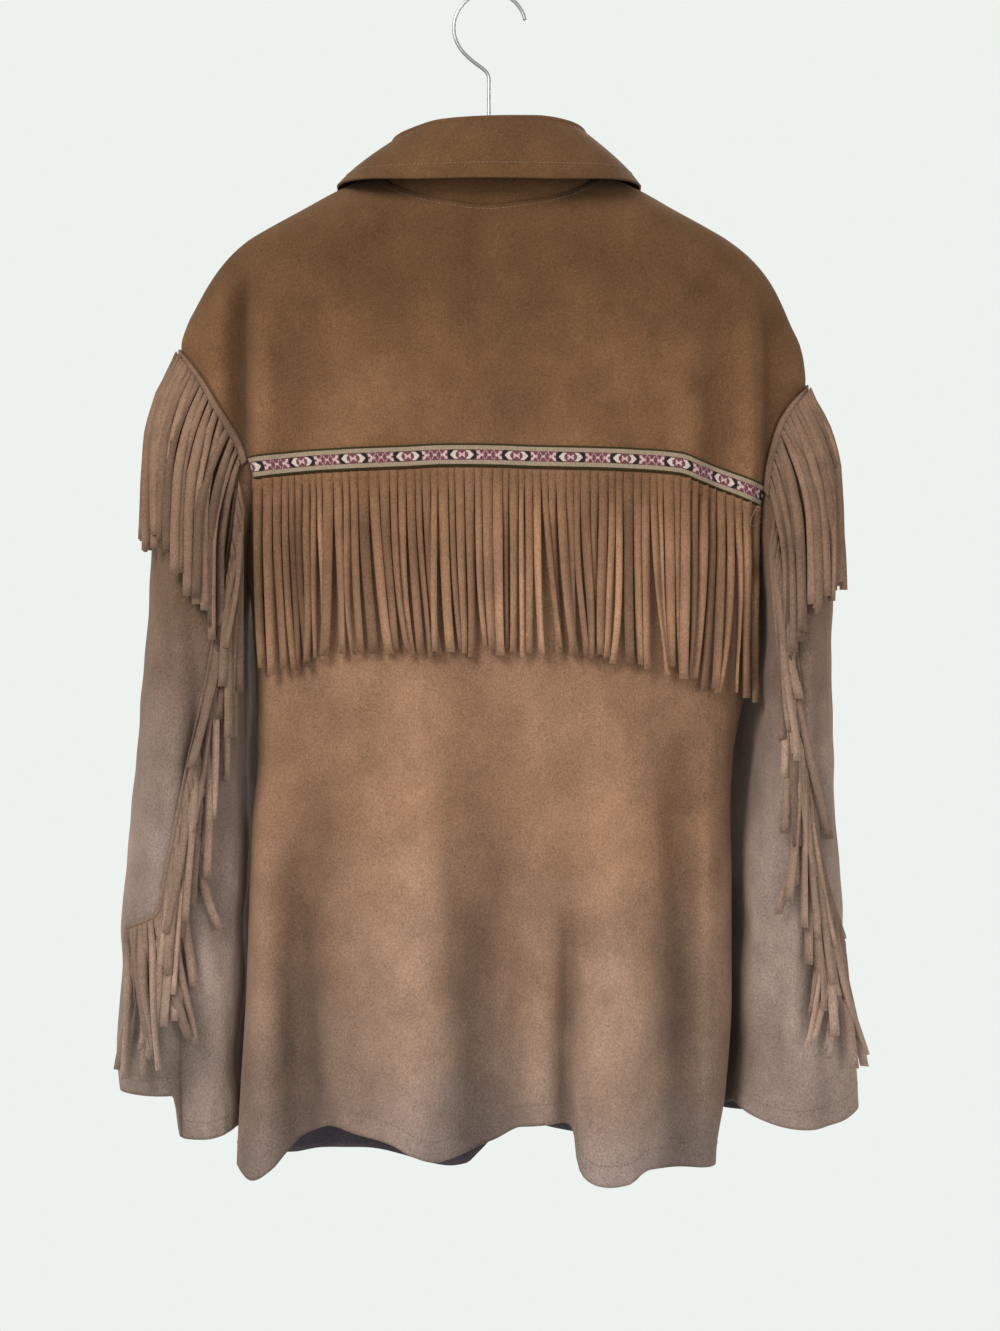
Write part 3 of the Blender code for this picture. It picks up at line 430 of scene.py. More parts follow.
def half_turn(angle):
    """The same angle from -pi to pi."""
    return np.mod(angle + math.pi, 2 * math.pi) - math.pi


def unit(v):
    """Vectors divided by their length."""
    return v / np.maximum(np.linalg.norm(v, axis=-1, keepdims=True), 1e-9)


def waves(x, z, size, seed, stretch=1.0, count=9):
    """Unevenness of unit spread: a sum of sine waves about size mm long, in seeded directions.

    stretch draws them out along z.
    """
    rng = np.random.default_rng(seed)
    total = 0.0
    for _ in range(count):
        angle = rng.uniform(0, math.pi)
        length = size * rng.uniform(0.7, 1.5)
        phase = rng.uniform(0, 2 * math.pi)
        place = x * math.cos(angle) + z / stretch * math.sin(angle)
        total = total + np.sin(2 * math.pi / length * place + phase)
    return total * math.sqrt(2 / count)


def creases(table, x, z):
    """Sum of soft troughs: depth * exp(-(distance from the line / half width)^2), fading at the ends."""
    out = np.zeros(np.broadcast(x, z).shape)
    for x0, z0, x1, z1, wide, depth in zip(*table.values()):
        dx, dz = x1 - x0, z1 - z0
        t = np.clip(((x - x0) * dx + (z - z0) * dz) / (dx * dx + dz * dz), 0, 1)
        away = np.hypot(x - x0 - t * dx, z - z0 - t * dz)
        out = out + depth * bell(away, 0, wide) * ease(3 * t) * ease(3 * (1 - t))
    return out


def half_width(z, side):
    """Half width of the body at a height, on the left where side is minus."""
    left = smooth(z, HALF_WIDTHS["z"], HALF_WIDTHS["left"])
    right = smooth(z, HALF_WIDTHS["z"], HALF_WIDTHS["right"])
    return np.where(np.asarray(side) < 0, left, right)


def half_depth(z):
    """Half depth of the body at a height."""
    return smooth(z, SECTIONS["z"], SECTIONS["half_depth"])


def square(z):
    """The power of the body's oval at a height: 2 is an ellipse, more is squarer."""
    return smooth(z, SECTIONS["z"], SECTIONS["square"])


def folds(x, z, back):
    """How far the cloth stands out of its plain section: bell-shaped folds, creases and small waves."""
    table = BACK_FOLDS if back else FRONT_FOLDS
    out = np.zeros(np.broadcast(x, z).shape)
    for middle, wide, depth, start, end in zip(*table.values()):
        out = out + depth * below(z, start, start - end) * bell(x, middle, wide)
    seed = 10 if back else 20
    out = out + 0.55 * waves(x, z, 60, seed, 3.0) + 0.16 * waves(x, z, 21, seed + 1, 2.0)
    if back:
        for middle, left, right, depth, top, low in zip(*YOKE_FOLDS.values()):
            grow = below(z, top, 40) * above(z, low, 60)
            out = out + depth * grow * bell(x, middle, np.where(x < middle, left, right))
        out = out + creases(BACK_CREASES, x, z) + creases(YOKE_CREASES, x, z)
    return out


def body(turn, z):
    """The body's surface, a squared oval of half_width by half_depth at each height, with its folds added.

    turn goes round the wearer: 0 at the back's middle, 1 at the left side, -1 at the right, 2 at the front.
    """
    turn, z = np.broadcast_arrays(np.asarray(turn, float), np.asarray(z, float))
    angle = math.pi / 2 * turn
    across, along = np.sin(angle), np.cos(angle)
    n = square(z)
    reach = (np.abs(across) ** n + np.abs(along) ** n) ** (-1 / n)
    x = -half_width(z, -across) * reach * across
    flat = np.abs(reach * along)
    out = np.where(along > 0, folds(x, z, True), folds(x, z, False)) * flat**2
    y = -np.sign(along) * (half_depth(z) * flat + out)
    return np.stack([x, y, z], axis=-1)


def turn_at(x, z, front=False):
    """The turn whose point at height z lies at x."""
    across = np.clip(np.abs(x) / half_width(z, x), 0, 1)
    n = square(z)
    along = (1 - across**n) ** (1 / n)
    turn = np.arctan2(across, along) * 2 / math.pi
    turn = np.where(front, 2 - turn, turn)
    return np.where(np.asarray(x) > 0, -turn, turn)


def armhole(side_name, angle):
    """The armhole seam, an upright oval: angle is 0 at the shoulder, pi/2 at the back, pi under the arm."""
    hole = ARMHOLES[side_name]
    middle = (hole["top"] + hole["bottom"]) / 2
    z = middle + (hole["top"] - middle) * np.cos(angle)
    along = hole["half_depth"] * np.abs(np.sin(angle)) / half_depth(z)
    n = square(z)
    across = (1 - along**n) ** (1 / n)
    turn = np.arctan2(across, along) * 2 / math.pi
    turn = np.where(np.sin(angle) < 0, 2 - turn, turn)
    return -hole["side"] * turn, z


def body_out(turn, z):
    """Outward normals of the body's surface, from its differences a little to each side."""
    d = 0.002
    du = body(turn + d, z) - body(turn - d, z)
    dz = body(turn, z + 1.0) - body(turn, z - 1.0)
    return unit(np.cross(dz, du))


def even(count):
    """Evenly spaced shares from 0 to 1."""
    return np.linspace(0, 1, count)


def even_turns(start, end, count):
    """Turns from start to end, spaced evenly along a level line low on the body."""
    fine = np.linspace(start, end, 400)
    run = run_along(body(fine, np.full(400, EVEN_LEVEL)))
    return np.interp(np.linspace(0, run[-1], count), run, fine)


def coons(bottom, top, start, end):
    """A patch between four sides of (turn, z): both pairs of sides blended, less the corners' blend."""
    u = even(len(bottom))[None, :, None]
    v = even(len(start))[:, None, None]
    corners = (
        (1 - u) * (1 - v) * bottom[0] + u * (1 - v) * bottom[-1] + (1 - u) * v * top[0] + u * v * top[-1]
    )
    return (1 - v) * bottom + v * top + (1 - u) * start[:, None] + u * end[:, None] - corners


def neck_at(turn):
    """The neck seam's (turn, z) on the body for turns from -2 to 2."""
    size = np.abs(turn)
    x = smooth(size, NECK["turn"], NECK["x"]) * -np.sign(turn)
    z = mirrored(turn, NECK["turn"], NECK["z"])
    return np.stack([turn_at(x, z, size > 1), z], axis=-1)


def seam_z(turn):
    """Height of the yoke seam at this turn of the back, found in a few rounds."""
    z = np.full(np.shape(turn), SEAM_LEVEL)
    for _ in range(SEAM_ROUNDS):
        z = smooth(body(turn, z)[..., 0], YOKE_SEAM["x"], YOKE_SEAM["z"])
    return z


def hem_z(turn, back):
    """Height of the hem at this turn."""
    table = BACK_HEM if back else FRONT_HEM
    x = body(turn, np.full(np.shape(turn), HEM_LEVEL))[..., 0]
    return smooth(x, table["x"], table["z"])


def armhole_angle_at_seam(side_name):
    """The armhole's angle where it crosses the yoke seam."""
    angles = np.linspace(0.2, math.pi - 0.1, 400)
    turn, z = armhole(side_name, angles)
    return float(angles[np.argmin(np.abs(z - seam_z(turn)))])


def both_seam_angles():
    """The left and the right armhole's angle at the yoke seam."""
    return [armhole_angle_at_seam(side_name) for side_name in ARMHOLES]


def ridge(side_name, count):
    """(turn, z) along the shoulder seam from the armhole's top to the neck."""
    side = ARMHOLES[side_name]["side"]
    z = np.linspace(ARMHOLES[side_name]["top"], NECK["z"][5], count)
    return np.stack([np.full(count, -side * 1.0), z], axis=-1)


def keep_off_ridge(grid, back):
    """Moves a panel's points a little off the side seams, so that the back and the front don't touch."""
    turn = grid[..., 0]
    size = np.minimum(np.abs(turn), 1 - SIDE_GAP) if back else np.maximum(np.abs(turn), 1 + SIDE_GAP)
    return np.stack([np.sign(turn) * size, grid[..., 1]], axis=-1)


def sleeve_folds(side_name, angle, z):
    """Rings of slack cloth above the hem, the long crease down the back, laid creases and unevenness."""
    slack = SLACK["depth"] * np.sin(z / SLACK["length"] + 1.5 * np.cos(angle))
    slack = slack * above(z, SLACK["low_z"], 20) * below(z, SLACK["high_z"], 60)
    groove = SLEEVE_GROOVES[side_name]
    deep = 1.5 * groove["depth"] * bell(angle, groove["angle"], groove["half_width"]) * below(z, -450, 150)
    table = dict(SLEEVE_CREASES[side_name])
    for key in ("from_angle", "to_angle"):
        table[key] = np.array(table[key]) * SLEEVE_GIRTH_PER_ANGLE
    laid = creases(table, full_turn(angle) * SLEEVE_GIRTH_PER_ANGLE, z)
    x, y = 46 * np.cos(angle), 46 * np.sin(angle)
    seed = 30 if side_name == "left" else 40
    uneven = 0.6 * waves(x, z + y, 55, seed, 2.4) + 0.2 * waves(x + y, z, 20, seed + 1, 1.6)
    return slack + deep + laid + uneven


def sleeve(side_name, angle, run):
    """The sleeve's surface, an oval that grows out of the armhole seam: run is 0 there and 1 at the hem.

    x is the middle plus half the girth's reach times cos(angle), y the half depth times sin(angle), and the
    folds are added along the oval's own direction. The left sleeve's outer panel laps over its long crease.
    """
    table = SLEEVES[side_name]
    side = ARMHOLES[side_name]["side"]
    angle, run = np.broadcast_arrays(angle, run)
    turn, top = armhole(side_name, angle)
    seam = body(turn, top)
    hem = (
        table["hem_outer"] + (table["hem_inner"] - table["hem_outer"]) * ease((1 - np.cos(angle)) / 2)
        + SLEEVE_ARC * np.sin(angle) ** 2
    )
    lap = 0.0
    if side_name == "left":
        around = half_turn(angle)
        outer_panel = below(around, PANEL_EDGE, 0.16) * above(around, PANEL_FAR_EDGE, 0.6)
        hem = mix(hem, OUTER_PANEL_HEM, outer_panel)
        lap = LAP_HEIGHT * bell(around, LAP_ANGLE, LAP_HALF)
    z = top + (hem - top) * run
    outer = smooth(z, table["z"], table["outer"])
    inner = smooth(z, table["z"], table["inner"])
    deep = smooth(z, table["z"], table["half_depth"])
    lobe = SLEEVE_LOBES[side_name] * bell(full_turn(angle), LOBE_ANGLE, LOBE_HALF) * below(z, LOBE_FROM, 75)
    reach = (outer + inner) / 2 + (outer - inner) / 2 * np.cos(angle)
    x = side * (reach + lap * below(z, LAP_FROM, 150) - lobe)
    y = -deep * np.sin(angle)
    w = 1 - (1 - np.clip((top - z) / SLEEVE_BLEND, 0, 1)) ** 2
    out = sleeve_folds(side_name, angle, z) * w
    x = mix(seam[..., 0], x, w) + side * out * np.cos(angle)
    y = mix(seam[..., 1], y, w) - out * np.sin(angle)
    return np.stack([x, y, z], axis=-1)


def run_down(length, top):
    """The share of a sleeve's run at this length below its seam."""
    return length / (top + SLEEVE_END)


def sleeve_out(side_name, angle, run):
    """Outward normals of the sleeve's surface, from its differences a little to each side."""
    d = 0.006
    da = sleeve(side_name, angle + d, run) - sleeve(side_name, angle - d, run)
    dr = sleeve(side_name, angle, run + d) - sleeve(side_name, angle, run - d)
    return unit(np.cross(dr, da)) * -ARMHOLES[side_name]["side"]


def collar_line(which, turn):
    """The collar's fold or edge; the fold droops a little on the left, as it hangs there."""
    x = smooth(np.abs(turn), COLLAR["turn"], COLLAR[f"{which}_x"]) * -np.sign(turn)
    y = mirrored(turn, COLLAR["turn"], COLLAR[f"{which}_y"])
    z = mirrored(turn, COLLAR["turn"], COLLAR[f"{which}_z"])
    if which == "fold":
        z = z + 0.035 * x - 2.5 * bell(x, -62, 22)
    return np.stack([x, y, z], axis=-1)


def collar_side(turn):
    """Level directions away from the neck."""
    return unit(collar_line("fold", turn) * np.array([1, 1, 0]))


def collar_fall(turn, v, thick):
    """The fall: v goes from inside the roll over it on a half round, then down to the edge in a bow."""
    fold, edge = collar_line("fold", turn), collar_line("edge", turn)
    side = collar_side(turn)
    up = np.array([0.0, 0.0, 1.0])
    v = v[..., None]
    radius = thick * 0.5 + ROLL_GAP
    angle = math.pi * (1 - np.clip(v / ROLL_SHARE, 0, 1))
    centre = fold + side * (thick * 0.5 + 1.9)
    rounded = centre + side * radius * np.cos(angle) + up * (thick + ROLL_GAP) * np.sin(angle)
    w = np.clip((v - ROLL_SHARE) / (1 - ROLL_SHARE), 0, 1)
    uneven = 0.5 * waves(np.abs(turn)[..., None] * 70, w * 50, 40, 51) * w
    down = (centre + side * radius) * (1 - w) + edge * w + side * (4 * 4 * w * (1 - w) + uneven)
    return np.where(v < ROLL_SHARE, rounded, down)


def grid_normals(points, ring=False):
    """Normals of a grid of points: the cross product of its differences along rows and columns."""
    if ring:
        across = np.roll(points, -1, axis=1) - np.roll(points, 1, axis=1)
    else:
        across = np.gradient(points, axis=1)
    return unit(np.cross(np.gradient(points, axis=0), across))


def signed_volume(points, quads):
    """Six times the volume inside the faces: the sum of a . (b x c) + a . (c x d)."""
    a, b, c, d = (points[quads[:, i]] for i in range(4))
    return float((np.einsum("ij,ij->i", a, np.cross(b, c)) + np.einsum("ij,ij->i", a, np.cross(c, d))).sum())


def shell_faces(rows, columns, ring):
    """Four-sided faces of a closed wall between two grids: the outer, the inner turned round, and the rim."""
    index = np.arange(rows * columns).reshape(rows, columns)
    if ring:
        index = np.concatenate([index, index[:, :1]], axis=1)
    a, b, c, d = index[:-1, :-1], index[:-1, 1:], index[1:, 1:], index[1:, :-1]
    outer = np.stack([a, b, c, d], axis=-1).reshape(-1, 4)
    inner = outer[:, ::-1] + rows * columns
    edges = [np.stack([index[0, 1:], index[0, :-1]], -1), np.stack([index[-1, :-1], index[-1, 1:]], -1)]
    if not ring:
        edges += [np.stack([index[:-1, 0], index[1:, 0]], -1), np.stack([index[1:, -1], index[:-1, -1]], -1)]
    rim = np.concatenate(edges)
    rim = np.concatenate([rim, rim[:, ::-1] + rows * columns], axis=1)
    return np.concatenate([outer, inner, rim]), len(rim)


def new_piece(name, points, quads, material, flat_faces=None, tone=None, reverse=None):
    """One mesh object from points in millimetres and four-sided faces, turned to face outwards.

    reverse is (material, faces) for the faces that show the cloth's other side.
    """
    if signed_volume(points, quads) < 0:
        quads = quads[:, ::-1]
    mesh = bpy.data.meshes.new(name)
    mesh.vertices.add(len(points))
    mesh.vertices.foreach_set("co", (points * MM).astype(np.float32).ravel())
    mesh.loops.add(quads.size)
    mesh.loops.foreach_set("vertex_index", quads.astype(np.int32).ravel())
    mesh.polygons.add(len(quads))
    mesh.polygons.foreach_set("loop_start", np.arange(0, quads.size, 4, dtype=np.int32))
    mesh.polygons.foreach_set("loop_total", np.full(len(quads), 4, dtype=np.int32))
    smooth_faces = np.ones(len(quads), bool)
    if flat_faces is not None:
        smooth_faces[flat_faces] = False
    mesh.update(calc_edges=True)
    mesh.polygons.foreach_set("use_smooth", smooth_faces)
    if tone is not None:
        # The tone: random tone of the strands, and painted shade and highlight of the cloth's folds and
        # hollows
        shade = mesh.attributes.new("tone", "FLOAT", "POINT")
        shade.data.foreach_set("value", np.asarray(tone, np.float32))
    mesh.materials.append(material)
    if reverse is not None:
        mesh.materials.append(reverse[0])
        slots = np.zeros(len(quads), np.int32)
        slots[reverse[1]] = 1
        mesh.polygons.foreach_set("material_index", slots)
    mesh.validate()
    piece = bpy.data.objects.new(name, mesh)
    bpy.context.scene.collection.objects.link(piece)
    return piece


def cloth(name, outer, thick, suedes, about, ring=False, shade=1.0):
    """A sewn piece: a wall of even thickness behind a grid of points, towards an upright line.

    about is that line's (x, y), suedes are the materials of face and reverse, and shade is the points' tone,
    which carries any painted shade and highlight of folds and hollows.
    """
    normals = grid_normals(outer, ring)
    away = outer - np.array([about[0], about[1], 0])
    away[..., 2] = 0
    if (normals * away).sum() < 0:
        normals = -normals
    points = np.concatenate([outer.reshape(-1, 3), (outer - normals * thick).reshape(-1, 3)])
    quads, rim = shell_faces(*outer.shape[:2], ring)
    side = (len(quads) - rim) // 2
    tone = np.tile(np.broadcast_to(shade, outer.shape[:2]).ravel(), 2)
    return new_piece(name, points, quads, suedes[0], slice(len(quads) - rim, None), tone,
                     (suedes[1], slice(side, 2 * side)))


def settle(piece, nodes=()):
    """Every piece rides on the one body and hides the solids that it stands for."""
    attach(piece, "root")
    if nodes:
        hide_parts(*nodes)
    return piece


def ring_faces(index):
    """Four-sided faces between each ring of a tube and the next, from rows of rings of point numbers."""
    turned = np.roll(index, -1, axis=-1)
    return np.stack([index[..., :-1, :], turned[..., :-1, :], turned[..., 1:, :], index[..., 1:, :]], axis=-1)


def strands(paths, across, outwards, half_widths, thick, curl):
    """Cut strips: a six-point section (three points in front, three behind) carried down each path.

    paths, across and outwards are strands x rows x 3, half_widths strands x rows; curl lifts the middle line.
    """
    count, rows = paths.shape[:2]
    wide = across * half_widths[..., None]
    raised = outwards * curl
    front = [paths - wide, paths + raised, paths + wide]
    section = np.stack(front + [side - outwards * thick for side in front[::-1]], axis=2)
    index = np.arange(count * rows * 6).reshape(count, rows, 6)
    sides = ring_faces(index)
    first, last = index[:, 0], index[:, -1]
    caps = [first[:, [5, 4, 1, 0]], first[:, [4, 3, 2, 1]], last[:, [0, 1, 4, 5]], last[:, [1, 2, 3, 4]]]
    quads = np.concatenate([sides.reshape(-1, 4)] + caps)
    flat = np.zeros(len(quads), bool)
    flat[: sides[..., 0].size] = np.broadcast_to(np.isin(np.arange(6), (2, 5)), sides.shape[:3]).ravel()
    flat[sides[..., 0].size :] = True
    return section.reshape(-1, 3), quads, flat


def strip(tops, roots, outwards, thick, rows=4):
    """The uncut edge that the strands are cut from: a thin closed wall between two lines."""
    outer = mix(tops[None], roots[None], even(rows)[:, None, None])
    inner = outer - outwards[None] * thick
    quads, rim = shell_faces(*outer.shape[:2], False)
    flat = np.zeros(len(quads), bool)
    flat[-rim:] = True
    return np.concatenate([outer.reshape(-1, 3), inner.reshape(-1, 3)]), quads, flat


def facing(part):
    """The part with its faces turned to face outwards."""
    points, quads, flat = part
    return (points, quads[:, ::-1], flat) if signed_volume(points, quads) < 0 else part


def join(parts):
    """Several (points, quads, flat) as one, each turned to face outwards, with the tone of each point."""
    points, quads, flats, tones = [], [], [], []
    start = 0
    for part, tone in parts:
        part = facing(part)
        points.append(part[0])
        quads.append(part[1] + start)
        flats.append(part[2])
        tones.append(np.broadcast_to(tone, len(part[0])))
        start += len(part[0])
    return np.concatenate(points), np.concatenate(quads), np.concatenate(flats), np.concatenate(tones)


def fringe_piece(name, node, parts, material):
    """One object from a fringe's uncut edge and its strands, which stands for the node's solid."""
    points, quads, flat, tone = join(parts)
    settle(new_piece(name, points, quads, material, np.nonzero(flat)[0], tone), [node])


def closed_rings(grid):
    """A tube from rows of rings, its two end rings filled with fans of four-sided faces."""
    rows, sides = grid.shape[:2]
    index = np.arange(rows * sides).reshape(rows, sides)
    quads = [ring_faces(index).reshape(-1, 4)]
    for ring in (index[0][::-1], index[-1]):
        first = np.full(sides // 2 - 1, ring[0])
        quads.append(np.stack([first, ring[1:-2:2], ring[2:-1:2], ring[3::2]], axis=-1))
    quads = np.concatenate(quads)
    return grid.reshape(-1, 3), quads, np.zeros(len(quads), bool)


def tube(path, radius, sides=12):
    """A round wire: circles of this radius, square to the path, that close to a small flat at both ends."""
    along = unit(np.gradient(path, axis=0))
    helper = np.array([0.0, 1.0, 0.0]) if abs(along[:, 1]).max() < 0.9 else np.array([1.0, 0.0, 0.3])
    side = unit(np.cross(along, helper))
    up = np.cross(side, along)
    angle = np.linspace(0, 2 * math.pi, sides, endpoint=False)
    radii = np.concatenate([[0.4 * radius], np.full(len(path), float(radius)), [0.4 * radius]])
    path, side, up = (np.concatenate([p[:1], p, p[-1:]]) for p in (path, side, up))
    ring = side[:, None] * np.cos(angle)[None, :, None] + up[:, None] * np.sin(angle)[None, :, None]
    return closed_rings(path[:, None] + ring * radii[:, None, None])


def stitches(line, outwards, pitch, length, radius):
    """Machine stitches: short humps of thread, each a five-ring spindle that dips into the cloth."""
    run = run_along(line)
    at = np.arange(pitch / 2, run[-1], pitch)
    points = at_lengths(at, run, line)
    along = unit(at_lengths(at + 0.5, run, line) - at_lengths(at - 0.5, run, line))
    out = unit(at_lengths(at, run, np.broadcast_to(outwards, line.shape)))
    side = unit(np.cross(along, out))
    s = np.array([-1.0, -0.6, 0.0, 0.6, 1.0])[None, :, None]
    radii = radius * np.array([0.45, 0.95, 1.0, 0.95, 0.45])
    rise = (radius * np.array([-0.8, 0.35, 0.6, 0.35, -0.8]))[None, :, None]
    angle = np.linspace(0, 2 * math.pi, 6, endpoint=False)[None, None, :, None]
    centre = points[:, None] + along[:, None] * (s * length / 2) + out[:, None] * rise
    ring = side[:, None, None] * np.cos(angle) + out[:, None, None] * np.sin(angle)
    grid = centre[:, :, None] + ring * radii[None, :, None, None]
    index = np.arange(grid[..., 0].size).reshape(grid.shape[:3])
    first, last = index[:, 0], index[:, -1]
    caps = [first[:, [3, 2, 1, 0]], first[:, [5, 4, 3, 0]], last[:, [0, 1, 2, 3]], last[:, [0, 3, 4, 5]]]
    quads = np.concatenate([ring_faces(index).reshape(-1, 4)] + caps)
    return grid.reshape(-1, 3), quads, np.zeros(len(quads), bool)


def cover_map():
    """How far the back of the body and the sleeves reaches towards -Y, on a grid of x and z cells."""
    reach = np.full(COVER["cells"], COVER["beyond"])
    trunk = body(np.linspace(-1.2, 1.2, 560)[:, None], np.linspace(-940, -300, 460)[None, :])
    clouds = [trunk[(trunk[..., 2] < -465) | (np.abs(trunk[..., 0]) < 196)]]
    for side_name in ARMHOLES:
        around = np.linspace(-0.6, math.pi + 0.6, 220)[:, None]
        clouds.append(sleeve(side_name, around, np.linspace(0, 1, 420)[None, :]).reshape(-1, 3))
    for points in clouds:
        i = ((points[:, 0] - COVER["x"]) / COVER["cell"]).astype(int)
        j = ((points[:, 2] - COVER["z"]) / COVER["cell"]).astype(int)
        np.minimum.at(reach, (i, j), points[:, 1])
    grown = reach.copy()
    for di in (-1, 0, 1):
        for dj in (-1, 0, 1):
            grown = np.minimum(grown, np.roll(np.roll(reach, di, 0), dj, 1))
    return grown


def cover(area, x, z):
    """The back's reach at x and z, read from the map between its cells."""
    fx = np.clip((x - COVER["x"]) / COVER["cell"] - 0.5, 0, area.shape[0] - 1.01)
    fz = np.clip((z - COVER["z"]) / COVER["cell"] - 0.5, 0, area.shape[1] - 1.01)
    i, j = fx.astype(int), fz.astype(int)
    u, v = fx - i, fz - j
    return (
        area[i, j] * (1 - u) * (1 - v) + area[i + 1, j] * u * (1 - v)
        + area[i, j + 1] * (1 - u) * v + area[i + 1, j + 1] * u * v
    )


def material(name):
    """A new material with its node tree, its shader and its object coordinates."""
    made = bpy.data.materials.new(name)
    made.use_nodes = True
    tree = made.node_tree
    coords = add(tree, "ShaderNodeTexCoord")
    return made, tree, tree.nodes["Principled BSDF"], coords.outputs["Object"]


def plain(tree, colour):
    """An even colour, to be varied before it reaches the shader."""
    base = add(tree, "ShaderNodeRGB")
    base.outputs[0].default_value = (*colour, 1)
    return base.outputs[0]


def settings(shader, values):
    """Values that are the same all over the surface."""
    for key, value in values.items():
        shader.inputs[key].default_value = value


def add(tree, kind, values=None, **options):
    """A new node with these options and input values."""
    node = tree.nodes.new(kind)
    for key, value in options.items():
        setattr(node, key, value)
    for key, value in (values or {}).items():
        node.inputs[key].default_value = value
    return node


def noise(tree, coords, scale, detail=3.0, low=0.0, high=1.0):
    """Noise at this many waves a metre, with its middle range spread from low to high."""
    made = add(tree, "ShaderNodeTexNoise", {"Scale": scale, "Detail": detail, "Roughness": 0.55})
    tree.links.new(coords, made.inputs["Vector"])
    spread = add(tree, "ShaderNodeMapRange",
                 {"From Min": 0.3, "From Max": 0.7, "To Min": low, "To Max": high})
    spread.clamp = False
    tree.links.new(made.outputs["Fac"], spread.inputs["Value"])
    return spread.outputs["Result"]


def stretched(tree, coords, scale):
    """Coordinates multiplied by a scale for each axis: a pattern is drawn out where it is below 1."""
    made = add(tree, "ShaderNodeMapping", {"Scale": scale})
    tree.links.new(coords, made.inputs["Vector"])
    return made.outputs["Vector"]


def scaled(tree, colour, *factors):
    """A colour multiplied by each of the factors."""
    for factor in factors:
        made = add(tree, "ShaderNodeVectorMath", operation="SCALE")
        tree.links.new(colour, made.inputs[0])
        tree.links.new(factor, made.inputs["Scale"])
        colour = made.outputs["Vector"]
    return colour


def bump(tree, shader, heights):
    """Bumps laid one on another: pairs of a height and its depth in metres."""
    below = None
    for height, depth in heights:
        made = add(tree, "ShaderNodeBump", {"Strength": 1.0, "Distance": depth})
        tree.links.new(height, made.inputs["Height"])
        if below is not None:
            tree.links.new(below, made.inputs["Normal"])
        below = made.outputs["Normal"]
    tree.links.new(below, shader.inputs["Normal"])


def suede(name, stops):
    """Brushed suede-look cloth: colours by height, clouding, each point's tone (random, and painted shade and
    highlight on folds and hollows), a fine nap and small bumps.

    stops are (height in metres, colour) from the hem up.
    """
    made, tree, shader, coords = material(name)
    parts = add(tree, "ShaderNodeSeparateXYZ")
    tree.links.new(coords, parts.inputs[0])
    moved = add(tree, "ShaderNodeMath", operation="ADD")
    tree.links.new(parts.outputs["Z"], moved.inputs[0])
    tree.links.new(noise(tree, coords, 7.0, 2.0, -0.03, 0.03), moved.inputs[1])
    low, high = stops[0][0], stops[-1][0]
    place = add(tree, "ShaderNodeMapRange", {"From Min": low, "From Max": high})
    tree.links.new(moved.outputs[0], place.inputs["Value"])
    ramp = add(tree, "ShaderNodeValToRGB")
    band = ramp.color_ramp
    while len(band.elements) < len(stops):
        band.elements.new(0.5)
    for element, (height, colour) in zip(band.elements, stops):
        element.position = (height - low) / (high - low)
        element.color = (*colour, 1)
    tree.links.new(place.outputs["Result"], ramp.inputs["Fac"])
    long_cloth = stretched(tree, coords, (1.0, 1.0, 0.8))
    clouds = [noise(tree, long_cloth, *cloud) for cloud in CLOUDING]
    # The tone darkens or lightens the colour: it carries painted shade and highlight of folds and hollows
    shade = add(tree, "ShaderNodeAttribute", attribute_name="tone", attribute_type="GEOMETRY")
    colour = scaled(tree, ramp.outputs["Color"], *clouds, shade.outputs["Fac"])
    tree.links.new(colour, shader.inputs["Base Color"])
    tree.links.new(noise(tree, coords, 160.0, 2.0, 0.86, 0.98), shader.inputs["Roughness"])
    settings(shader, {
        "Specular IOR Level": 0.14,
        "Specular Tint": (0.95, 0.72, 0.58, 1),
        "Sheen Weight": 0.12,
        "Sheen Roughness": 0.45,
        "Sheen Tint": (0.85, 0.62, 0.48, 1),
    })
    nap = noise(tree, coords, 900.0, 3.0)
    brushed = noise(tree, stretched(tree, coords, (1.0, 1.0, 0.35)), 130.0, 4.0)
    bump(tree, shader, [(brushed, 0.0003), (nap, 0.00022)])
    return made


def band_material():
    """The woven band: a colour for each thread crossing, ribbed across by its threads."""
    made, tree, shader, coords = material("woven_band")
    thread = add(tree, "ShaderNodeAttribute", attribute_name="thread", attribute_type="GEOMETRY")
    colour = scaled(tree, thread.outputs["Color"], noise(tree, coords, 700.0, 2.0, 0.82, 1.14))
    tree.links.new(colour, shader.inputs["Base Color"])
    settings(shader, {"Roughness": 0.9, "Specular IOR Level": 0.12, "Sheen Weight": 0.05})
    ribs = add(tree, "ShaderNodeTexWave", {"Scale": 19.6, "Distortion": 0.4}, bands_direction="X")
    tree.links.new(add(tree, "ShaderNodeTexCoord").outputs["UV"], ribs.inputs["Vector"])
    bump(tree, shader, [(ribs.outputs["Fac"], 0.0002), (noise(tree, coords, 1200.0, 2.0), 0.0001)])
    return made


def thread_material(colour):
    """Matt sewing thread, a little uneven."""
    made, tree, shader, coords = material("sewing_thread")
    varied = scaled(tree, plain(tree, colour), noise(tree, coords, 300.0, 2.0, 0.8, 1.15))
    tree.links.new(varied, shader.inputs["Base Color"])
    settings(shader, {"Roughness": 0.7})
    bump(tree, shader, [(noise(tree, coords, 2600.0, 1.0), 0.0001)])
    return made


def horn_material(colour):
    """Dark horn-look plastic with cloudy streaks."""
    made, tree, shader, coords = material("horn_button")
    streaks = noise(tree, stretched(tree, coords, (1.0, 1.0, 3.5)), 120.0, 4.0, 0.6, 1.7)
    tree.links.new(scaled(tree, plain(tree, colour), streaks), shader.inputs["Base Color"])
    tree.links.new(noise(tree, coords, 500.0, 2.0, 0.28, 0.42), shader.inputs["Roughness"])
    bump(tree, shader, [(noise(tree, coords, 350.0, 2.0), 0.00004)])
    return made


